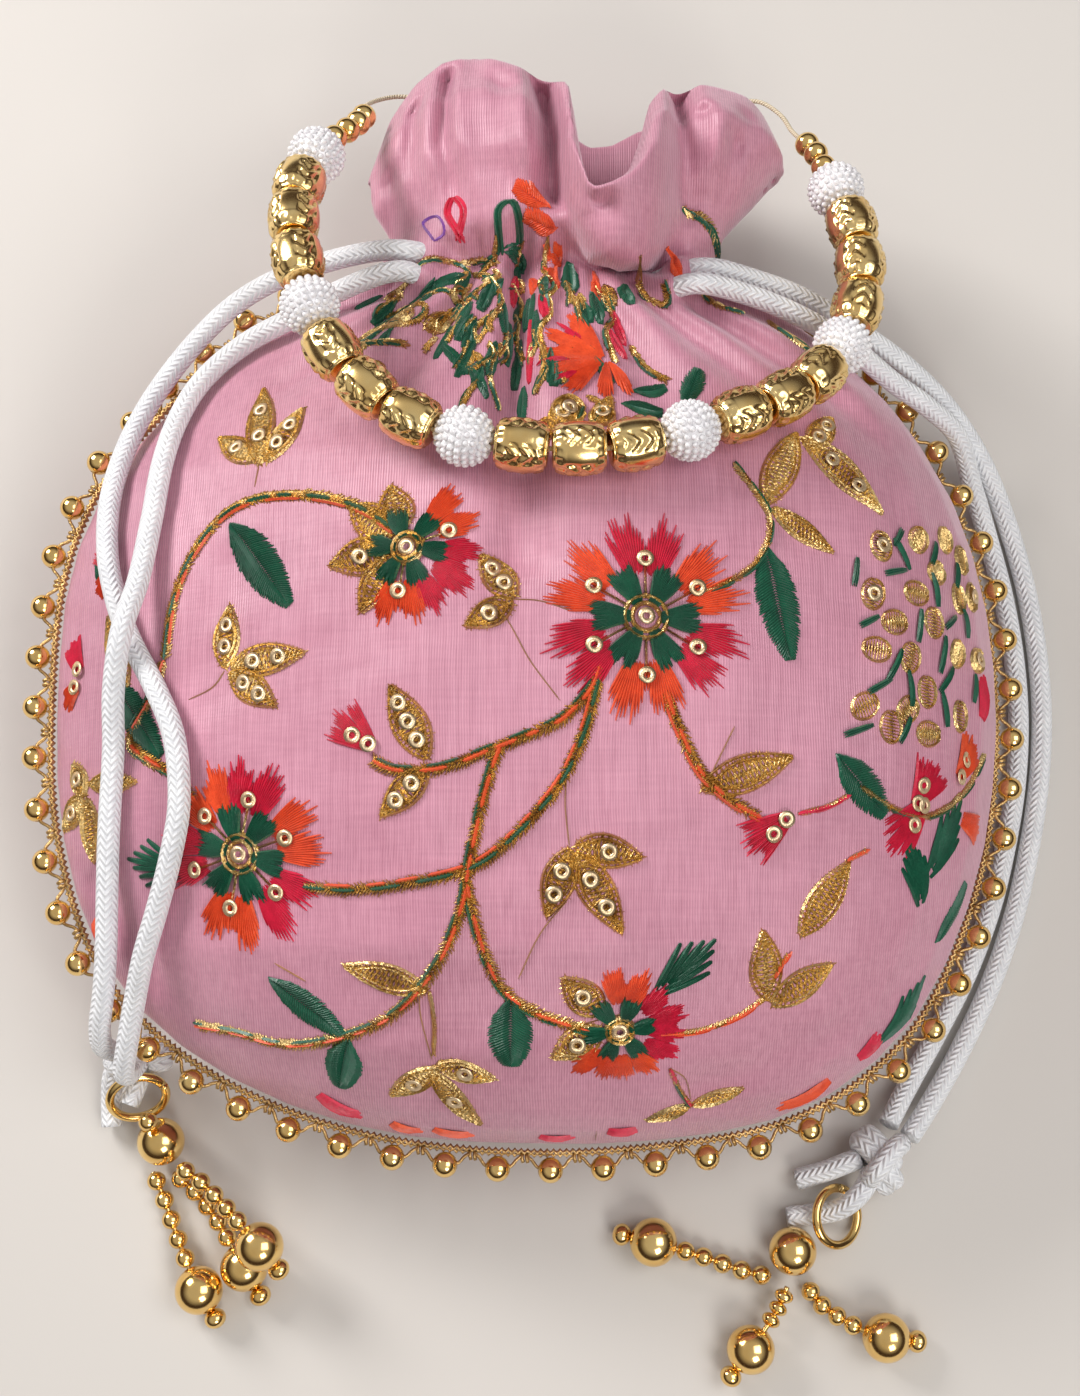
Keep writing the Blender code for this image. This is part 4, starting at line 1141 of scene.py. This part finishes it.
# On the frill the pattern starts again: three loose loops, two leaf outlines and a curved band.
CRIMSON_LOOP = [(-14.4, 92), (-17.6, 98), (-16.4, 101.6), (-14.2, 98), (-15.4, 92.6)]
GREEN_LOOP = [(-6.6, 90.4), (-7.0, 96.6), (-4.0, 98), (-2.6, 93.4), (-5.4, 91.4)]
for shift in (0, 0.8):
    for loop, colour in ((CRIMSON_LOOP, "crimson"), (GREEN_LOOP, "green")):
        surface_line([(x + shift, y) for x, y in loop], colour, 0.9)
surface_line([(-20, 92.6), (-22.4, 97.4), (-19.4, 98.2), (-17.8, 94.4), (-20, 92.6)], "violet", 0.6)
for base, tip, width in [
    ((4, 97), (-3.6, 101.4), 5.4), ((6, 92.4), (-1.6, 95.4), 6.0), ((8, 87), (3, 92), 4.6),
]:
    silk_leaf(base, tip, width, "orange")
silk_leaf((1, 88), (-5, 94), 3.0)
vine([(31.4, 99.4), (35, 98.6), (38.6, 96), (41.2, 91.4), (41.6, 88)], ("green", "green"), 1.6)
surface_line([(31.4, 99), (35, 98.2), (38.2, 95.6), (40.6, 91.4), (41, 88)], "green", 1.7)


def silk_material(name, dark, light):
    material, tree, shader = start_material("silk_" + name, light, 0.38)
    coords = node(tree, "ShaderNodeTexCoord").outputs["Object"]
    fibre = noise_at(tree, coords, 2600)
    patchy = noise_at(tree, coords, 420)
    mask = calc(tree, "MULTIPLY_ADD", fibre, 0.7, calc(tree, "SUBTRACT", patchy, 0.35))
    tree.links.new(shade_between(tree, mask, dark, light), shader.inputs["Base Color"])
    shader.inputs["Sheen Weight"].default_value = 0.15
    tree.links.new(bump(tree, fibre, 0.3, 0.0002), shader.inputs["Normal"])
    return material


def metal_material(name, dark, light, roughness, scale, depth):
    """Metal whose tone and surface vary finely, as on wound gilt thread or plated beads; its fine
    grain also paints bright specks into the colour, which are painted glints.
    """
    material, tree, shader = start_material(name, light, roughness, 1.0)
    coords = node(tree, "ShaderNodeTexCoord").outputs["Object"]
    grain_and_glints = noise_at(tree, coords, scale)
    wear = noise_at(tree, coords, 180)
    # The fine grain lightens the colour in small bright specks: painted glints. The broader wear
    # noise varies the tone at random.
    mask = calc(tree, "MULTIPLY_ADD", grain_and_glints, 0.6, calc(tree, "SUBTRACT", wear, 0.3))
    tree.links.new(shade_between(tree, mask, dark, light), shader.inputs["Base Color"])
    tree.links.new(bump(tree, grain_and_glints, 0.5, depth), shader.inputs["Normal"])
    return material


materials = {key: silk_material(key, *pair) for key, pair in THREAD_COLOURS.items()}
# The gilt thread's bright yellow specks are painted glints.
materials["gilt"] = metal_material(
    "gilt_thread", (0.32, 0.17, 0.05), (1.0, 0.77, 0.36), 0.33, 1900, 0.0005
)
materials["sequin"] = metal_material(
    "sequin_gilt", (0.70, 0.50, 0.28), (0.94, 0.76, 0.52), 0.44, 500, 0.00005
)
materials["fine"] = silk_material("brown", (0.22, 0.10, 0.04), (0.42, 0.22, 0.09))
for key, (verts, faces) in stitches.items():
    piece = mesh_piece("embroidery_" + key, [(verts, faces)], materials[key], key == "sequin")
    assign(piece, "bag", "trim_gold" if key in ("gilt", "sequin") else "pink_dupion")

# ---- Beaded trim ----
# A narrow crocheted gilt edging is sewn round the seam. It ends in scallops of twisted thread,
# and each scallop holds one plated bead.
SEAM_ROUTE = [
    (-45, 84.2, 33), (-62, 75, 30), (-78, 60, 28), (-90, 44, 28), (-96.5, 25, 28), (-98, 0, 28),
    (-96, -27, 28), (-88, -52, 27), (-75, -68, 25), (-55, -80.5, 24), (-30, -88.5, 22),
    (0, -91.5, 21), (28, -90, 20), (50, -86, 18.5), (67, -77.5, 17), (81.5, -63, 15),
    (93, -38, 14), (98, -11, 14), (97.5, 15, 15), (92, 38, 17), (81, 58, 20), (66, 73, 25),
    (50.5, 82.7, 30),
]
TRIM_BEAD_RADIUS = 2.6
TRIM_BEAD_OFFSET = 4.6
TRIM_BEAD_PITCH = 10.4
EDGING_STEP = 1.3


def rounded_bead(centre, axis, radius, half_length, hole, sides=20, rows=12):
    """A bead turned about its axis, closed at each end by the dimple of its hole."""
    def outline_at(share, _):
        tilt = math.acos(min(1, hole / radius))
        lat = (share * 2 - 1) * tilt
        return half_length * math.sin(lat) / math.sin(tilt), radius * math.cos(lat)
    return turned_bead(centre, axis, outline_at, sides, rows)


def turned_bead(centre, axis, outline_at, sides, rows):
    """A closed bead from a rule that gives (place on the axis, radius) in mm at share and angle."""
    axis = axis.normalized()
    side = axis.orthogonal().normalized()
    other = axis.cross(side)
    verts, faces = [], []
    for row in range(rows + 1):
        for turn in range(sides):
            angle = 2 * math.pi * turn / sides
            along, wide = outline_at(row / rows, angle)
            arm = side * math.cos(angle) + other * math.sin(angle)
            verts.append(centre + (axis * along + arm * wide) * MM)
    for row in range(rows):
        for turn in range(sides):
            after = (turn + 1) % sides
            faces.append((
                row * sides + turn, row * sides + after,
                (row + 1) * sides + after, (row + 1) * sides + turn,
            ))
    for row, inward in ((0, 0.5), (rows, -0.5)):
        ring = range(row * sides, (row + 1) * sides)
        middle = sum((verts[corner] for corner in ring), Vector()) / sides + axis * inward * MM
        verts.append(middle)
        for turn in range(sides):
            pair = (ring[turn], ring[(turn + 1) % sides])
            if row == 0:
                pair = pair[::-1]
            faces.append((len(verts) - 1, *pair))
    return verts, faces


seam = smooth_path(SEAM_ROUTE, EDGING_STEP)
outward = []
for index in range(len(seam)):
    ahead = seam[min(index + 1, len(seam) - 1)] - seam[max(index - 1, 0)]
    outward.append(Vector((ahead.y, -ahead.x, 0)).normalized())
seam_length = len(seam) - 1


def at_seam(reach, out, lift=0.0):
    """The point this far along the seam, in steps, and this far out from it, in millimetres."""
    index = min(int(reach), seam_length - 1)
    part = reach - index
    base = seam[index].lerp(seam[index + 1], part)
    arm = outward[index].lerp(outward[index + 1], part).normalized()
    return base + arm * out * MM + Vector((0, 0, lift * MM))


bead_count = round(seam_length * EDGING_STEP / TRIM_BEAD_PITCH)
spacing = seam_length / bead_count
edging, trim_beads = [], []
# Three wavy threads lie side by side: how far out and up each one is, and its swing.
EDGING_THREADS = [(1.05, 0.35, 0.35), (1.5, -0.1, -0.35), (1.0, -0.55, 0.35)]
# A scallop's side: its share of the spacing between beads, and how far out it is there.
SCALLOP = [(0.46, 1.9), (0.36, 2.6), (0.26, 3.9), (0.14, 4.5), (0.0, 4.6)]
EDGING_RADIUS = 0.42 * MM
SCALLOP_RADIUS = 0.38 * MM
for out, lift, swing in EDGING_THREADS:
    strand = []
    for half in range(seam_length * 2):
        wave = swing * (1 if half % 2 else -1)
        strand.append(at_seam(half / 2, out + wave, lift))
    edging.append(tube_shape(strand, EDGING_RADIUS, 6))
for number in range(bead_count):
    middle = (number + 0.5) * spacing
    centre = at_seam(middle, TRIM_BEAD_OFFSET)
    across = at_seam(middle + 0.3, TRIM_BEAD_OFFSET) - at_seam(middle - 0.3, TRIM_BEAD_OFFSET)
    bead = rounded_bead(centre, across, TRIM_BEAD_RADIUS, TRIM_BEAD_RADIUS * 0.97, 0.5)
    trim_beads.append(bead)
    for way in (-1, 1):
        scallop = [
            at_seam(middle + way * spacing * share, out, 0.12 * way) for share, out in SCALLOP
        ]
        route = smooth_path([tuple(p / MM) for p in scallop], 0.5)
        edging.append(tube_shape(route, SCALLOP_RADIUS, 6))
    if number:
        for shift in (-0.35, 0.35):
            reach = number * spacing + shift
            post = [at_seam(reach, 1.3), at_seam(reach, 2.4, 0.3), at_seam(reach + 0.2, 3.1)]
            edging.append(tube_shape(post, EDGING_RADIUS, 6))
edging_gilt = metal_material(
    "edging_gilt", (0.24, 0.12, 0.04), (0.86, 0.60, 0.26), 0.42, 2200, 0.0004
)
plated_gold = metal_material(
    "plated_gold", (0.80, 0.46, 0.12), (1.0, 0.76, 0.34), 0.15, 240, 0.00003
)
assign(mesh_piece("crocheted_edging", edging, edging_gilt), "bag", "trim_gold", "bead_trim")
assign(mesh_piece("edging_beads", trim_beads, plated_gold), "bag", "trim_gold")

# ---- Beaded handle ----
# Carved gold barrels and dotted pearls on one cream thread, which starts and ends inside the
# frill. Small plain gold beads fill its ends.
HANDLE_ROUTE = [
    (-21, 134.6, 22.5), (-25.5, 137, 22.5), (-30, 137.2, 23), (-34.4, 134.6, 26),
    (-36.6, 130, 31.5), (-35.4, 124.2, 38.8), (-37, 119.8, 43.5), (-39.2, 116, 47.2),
    (-41.6, 112.6, 50.6), (-45.2, 105.6, 54.6), (-46.9, 96.8, 60.4), (-46.8, 86.8, 65),
    (-44.8, 76.4, 67.8), (-42, 66, 69.8), (-36.6, 56.9, 71.4), (-29.4, 49, 72.6),
    (-20.6, 43, 73.8), (-10.3, 40, 74.4), (0.3, 38.2, 74.8), (11.1, 37.8, 74.8),
    (21.8, 39.2, 74), (31.5, 42.8, 72.4), (41, 46.4, 69.8), (50, 51.4, 65.8),
    (57.4, 58.2, 61), (63.2, 66.4, 55.6), (66.8, 76, 52.6), (67.6, 86.4, 50.2),
    (66.4, 97.2, 46.8), (62.9, 109.6, 40.8), (61, 117.6, 36), (59.2, 121.8, 32),
    (57.2, 126.2, 28.5), (55.4, 131, 26), (51.5, 135.2, 24), (47.5, 136, 23),
    (43.5, 134.6, 22.5),
]
HANDLE_BEADS = "ssss" + "pggg" * 5 + "p" + "sss"
BEAD_NODES = {"g": "gold_bead", "p": "pearl_bead", "s": "spacer_bead"}
GOLD_RADIUS = 5.4
GOLD_HALF_LENGTH = 5.1
PEARL_RADIUS = 5.75
PEARL_DOT = 0.66
PEARL_CORE = PEARL_RADIUS - 0.45
CARVED_PANELS = 8
CARVED_BAND = 0.44
FACETED_BAND = 0.74
CHEVRON_DEPTH = 0.62
PLAIN_DEPTH = 0.22
COLLAR_RADIUS = 3.5


def carved_outline(share, angle):
    """A barrel whose middle band is cut with chevrons between facets, with a collar at each end."""
    s = share * 2 - 1
    end = abs(s)
    body = GOLD_RADIUS * math.cos(1.12 * min(end, FACETED_BAND)) ** 0.62
    panel = (angle / (2 * math.pi) * CARVED_PANELS) % 1.0
    if end < CARVED_BAND:
        plain = int(angle / (2 * math.pi) * CARVED_PANELS) % 2
        cut = 0.5 + 0.5 * math.sin((abs(panel - 0.5) * 1.5 + s * 2.9) * 2 * math.pi)
        rim = min(1.0, (CARVED_BAND - end) / 0.06)
        edge = math.exp(-(min(panel, 1 - panel) / 0.07) ** 2)
        body -= (PLAIN_DEPTH if plain else CHEVRON_DEPTH * cut + 0.30 * edge) * rim
    elif end < FACETED_BAND:
        facets = CARVED_PANELS * 2
        turn = (angle / (2 * math.pi) * facets) % 1.0 - 0.5
        flat = math.cos(math.pi / facets) / math.cos(turn * 2 * math.pi / facets)
        body *= 1 - (1 - flat) * 3.0
    else:
        t = (end - FACETED_BAND) / (1 - FACETED_BAND)
        neck = COLLAR_RADIUS - 0.5 * math.exp(-((t - 0.06) / 0.12) ** 2)
        body = neck * math.sqrt(max(0.0, 1 - (t * 0.9) ** 2.4)) + 0.3
    return GOLD_HALF_LENGTH * math.sin(s * math.pi / 2), body


def pearl_dots(centre, axis):
    """Rows of small domes round the pearl, each row turned half a step from the one before."""
    axis = axis.normalized()
    side = axis.orthogonal().normalized()
    other = axis.cross(side)
    shapes = []
    for row in range(-5, 6):
        lat = row * math.radians(15.2)
        count = max(5, round(22 * math.cos(lat)))
        for turn in range(count):
            angle = 2 * math.pi * (turn + (row % 2) * 0.5) / count
            arm = side * math.cos(angle) + other * math.sin(angle)
            out = arm * math.cos(lat) + axis * math.sin(lat)
            dome = centre + out * PEARL_CORE * MM
            shapes.append(rounded_bead(dome, out, PEARL_DOT, PEARL_DOT * 1.1, 0.12, 7, 4))
    return shapes


def box_centre(name):
    low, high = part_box(name)
    return (Vector(low) + Vector(high)) / 2


numbers = {"g": 0, "p": 0, "s": 0}
order = []
for kind in HANDLE_BEADS:
    numbers[kind] += 1
    order.append((kind, f"{BEAD_NODES[kind]}_{numbers[kind]:02d}"))
places = [box_centre(name) for _, name in order]
handle_shapes = {"g": [], "p": [], "s": []}
dots = []
for index, (kind, name) in enumerate(order):
    axis = places[min(index + 1, len(places) - 1)] - places[max(index - 1, 0)]
    centre = places[index]
    if kind == "g":
        turned = Matrix.Rotation(hand.uniform(0, 6.28), 4, axis.normalized())
        verts, faces = turned_bead(Vector(), axis, carved_outline, 84, 34)
        handle_shapes["g"].append(([centre + turned @ vert for vert in verts], faces))
    elif kind == "p":
        core = rounded_bead(centre, axis, PEARL_CORE, PEARL_CORE - 0.3, 1.1, 36, 20)
        handle_shapes["p"].append(core)
        dots.extend(pearl_dots(centre, axis))
    else:
        handle_shapes["s"].append(rounded_bead(centre, axis, 2.65, 2.25, 0.9, 28, 16))
carved_gold = metal_material(
    "carved_gold", (0.82, 0.50, 0.15), (1.0, 0.80, 0.40), 0.21, 300, 0.00004
)
pearl, tree, shader = start_material("pearl_plastic", (0.80, 0.79, 0.80), 0.16)
coords = node(tree, "ShaderNodeTexCoord").outputs["Object"]
cloudy = noise_at(tree, coords, 160)
tree.links.new(
    shade_between(tree, cloudy, (0.68, 0.66, 0.70), (0.94, 0.93, 0.93)), shader.inputs["Base Color"]
)
shader.inputs["Coat Weight"].default_value = 0.6
shader.inputs["Coat Roughness"].default_value = 0.08
shader.inputs["Subsurface Weight"].default_value = 0.12
shader.inputs["Subsurface Radius"].default_value = (0.002, 0.0018, 0.0018)
for kind, material, title, slot in (
    ("g", carved_gold, "carved_beads", "bead_gold"), ("p", pearl, "pearl_cores", "pearl_white"),
    ("s", plated_gold, "spacers", "bead_gold"),
):
    piece = mesh_piece("handle_" + title, handle_shapes[kind], material)
    assign(piece, "handle", slot, *[name for bead, name in order if bead == kind])
assign(mesh_piece("handle_pearl_dots", dots, pearl), "handle", "pearl_white")

twine, tree, shader = start_material("cream_twine", (0.78, 0.68, 0.50), 0.7)
uv = node(tree, "ShaderNodeUVMap", uv_map="along").outputs[0]
parts = node(tree, "ShaderNodeSeparateXYZ", {0: uv})
ply = calc(tree, "MULTIPLY_ADD", parts.outputs[1], 1 / (1.3 * MM), parts.outputs[0])
ply = calc(tree, "SINE", calc(tree, "MULTIPLY", ply, 4 * math.pi))
# The colour is darker in the grooves between the plies that the bump sinks: painted shade.
mask = calc(tree, "MULTIPLY_ADD", ply, 0.35, 0.55)
tree.links.new(
    shade_between(tree, mask, (0.50, 0.38, 0.22), (0.86, 0.77, 0.60)), shader.inputs["Base Color"]
)
tree.links.new(bump(tree, ply, 0.6, 0.0002), shader.inputs["Normal"])
TWINE_RADIUS = 0.5 * MM
strand = tube_shape(smooth_path(HANDLE_ROUTE, 1.2), TWINE_RADIUS, 8)
string = mesh_piece("handle_twine", [strand], twine)
assign(string, "handle", "string_cream", "handle_string")

# Each end of the string is knotted at the hem and goes down into the mouth, where it is sewn.
STRING_ROOTS = [
    [(-21, 134.6, 22.5), (-19.4, 131.5, 23.4), (-18, 124, 24.6), (-16, 112, 27)],
    [(43.5, 134.6, 22.5), (42.4, 131.5, 23.2), (41.4, 124, 24.4), (38.6, 112, 26.5)],
]
TWINE_KNOT_RADIUS = 0.9
root_shapes = []
for route in STRING_ROOTS:
    x, y, z = route[0]
    knot = []
    for step in range(21):
        turn = 2 * math.pi * 2.5 * step / 20
        across, up = TWINE_KNOT_RADIUS * math.cos(turn), TWINE_KNOT_RADIUS * math.sin(turn)
        knot.append((x + across, y + 0.14 * turn - 1.1, z + up))
    root_shapes.append(tube_shape(smooth_path(route, 1.2), TWINE_RADIUS, 8))
    root_shapes.append(tube_shape(smooth_path(knot, 0.5), TWINE_RADIUS, 8))
assign(mesh_piece("handle_string_roots", root_shapes, twine), "bag", "string_cream")

# ---- Tassels ----
# A split gold ring hangs in each knot. Under it one gold ball gathers three short strings of
# seed beads, and each string ends in a ball with a tip bead.
RINGS = {
    "left_ring": ((-82.2, -81.9, 8), (0.25, -0.62, -0.74), (0.93, 0.37, 0)),
    "right_ring": ((64, -106.3, 4.6), (-0.82, 0, 0.574), (0, 1, 0)),
}
RING_RADIUS = 5.8
RING_WIRE = 0.95
RING_STEPS = 60
BALL_RADIUS = 5.0
BALL_HALF_LENGTH = 4.85
SEED_RADIUS = 2.0
SEED_HALF_LENGTH = 1.9
TIP_RADIUS = 2.3
TIP_REACH = 6.9
# Each string: its route, how many seed beads it holds, and their pitch.
TASSEL_STRINGS = {
    "left_string_1": (
        [(-79.6, -97.4, 2.4), (-77, -103, 2.2), (-73.8, -111, 2.4), (-69.4, -119.6, 5.1),
         (-65.6, -126.4, 3.4)], 5, 4.3),
    "left_string_2": (
        [(-73.4, -96, 7.8), (-69, -98.6, 8.6), (-63.5, -103.4, 10.2), (-57.2, -109.4, 13.8),
         (-52.6, -115.2, 10.4)], 5, 4.0),
    "left_string_3": (
        [(-75.2, -97.5, 2.4), (-70.6, -101.4, 2.2), (-66, -106.8, 2.4), (-60.8, -114.2, 5.1),
         (-57, -120.8, 3.6)], 5, 4.0),
    "right_string_1": (
        [(50.2, -118.4, 2.4), (46, -117.9, 2.3), (36, -114.6, 2.3), (27, -111.8, 5.1),
         (19.8, -110.2, 3.4)], 5, 4.2),
    "right_string_2": (
        [(53.2, -120.4, 5), (51.6, -124.2, 4.4), (47.2, -130.4, 5.3), (43, -136, 4.2)], 3, 2.8),
    "right_string_3": (
        [(57.2, -120, 2.6), (61.5, -125, 2.2), (70.5, -129.8, 5.1), (78.5, -131.2, 3.4)], 4, 3.7),
}


def point_on(path, distance):
    """The point this many millimetres along an even path, and the path's direction there."""
    for here, after in zip(path, path[1:]):
        step = (after - here).length / MM
        if distance <= step:
            return here.lerp(after, distance / step), (after - here).normalized()
        distance -= step
    ahead = (path[-1] - path[-2]).normalized()
    return path[-1] + ahead * distance * MM, ahead


for name, (centre, first, second) in RINGS.items():
    centre = Vector(centre)
    first, second = Vector(first).normalized(), Vector(second).normalized()
    loop = []
    for index in range(RING_STEPS + 1):
        angle = math.radians(100 + 356 * index / RING_STEPS)
        arm = first * math.cos(angle) + second * math.sin(angle)
        loop.append((centre + arm * RING_RADIUS) * MM)
    piece = mesh_piece("split_" + name, [tube_shape(loop, RING_WIRE * MM, 14)], plated_gold)
    assign(piece, name.replace("ring", "tassel"), "trim_gold", name)

TOP_BALLS = {
    "left": ((-77.6, -91, 5.2), (0.35, -0.9, -0.45)),
    "right": ((54.5, -113.2, 5.2), (-0.75, -0.65, 0)),
}
for side, (centre, axis) in TOP_BALLS.items():
    centre, axis = Vector(centre) * MM, Vector(axis)
    shapes = [rounded_bead(centre, axis, BALL_RADIUS, BALL_HALF_LENGTH, 0.9, 40, 24)]
    covered = [side + "_top_ball"]
    if side == "left":
        cap, axis = box_centre("left_cap_bead"), Vector((0.3, -0.7, -0.6))
        shapes.append(rounded_bead(cap, axis, SEED_RADIUS, SEED_HALF_LENGTH, 0.6, 24, 14))
        covered = ["left_cap_bead", "left_top_ball"]
    piece = mesh_piece(side + "_tassel_top", shapes, plated_gold)
    assign(piece, side + "_tassel", "bead_gold", *covered)

for name, (route, count, pitch) in TASSEL_STRINGS.items():
    path = smooth_path(route, 0.5)
    shapes = []
    for index in range(count):
        centre, axis = point_on(path, 2 + index * pitch)
        half_length = min(SEED_HALF_LENGTH, pitch / 2 - 0.05)
        shapes.append(rounded_bead(centre, axis, SEED_RADIUS, half_length, 0.55, 22, 14))
    ball_at = 2 + (count - 1) * pitch + 2 + BALL_RADIUS + 0.3
    centre, axis = point_on(path, ball_at)
    shapes.append(rounded_bead(centre, axis, BALL_RADIUS, BALL_HALF_LENGTH, 0.9, 40, 24))
    tip, _ = point_on(path, ball_at + TIP_REACH)
    shapes.append(rounded_bead(tip, axis, TIP_RADIUS, 1.95, 0.6, 24, 14))
    strand = [point_on(path, reach / 2)[0] for reach in range(0, int(2 * ball_at) + 14)]
    shapes.append(tube_shape(strand, 0.55 * MM, 8)[:2])
    piece = mesh_piece(name + "_beads", shapes, plated_gold)
    assign(piece, name, "bead_gold", name, name + "_end_ball")

boxes = {"cad": cad_box, "scene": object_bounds()}
{key: [list(corner) for corner in box] for key, box in boxes.items()}
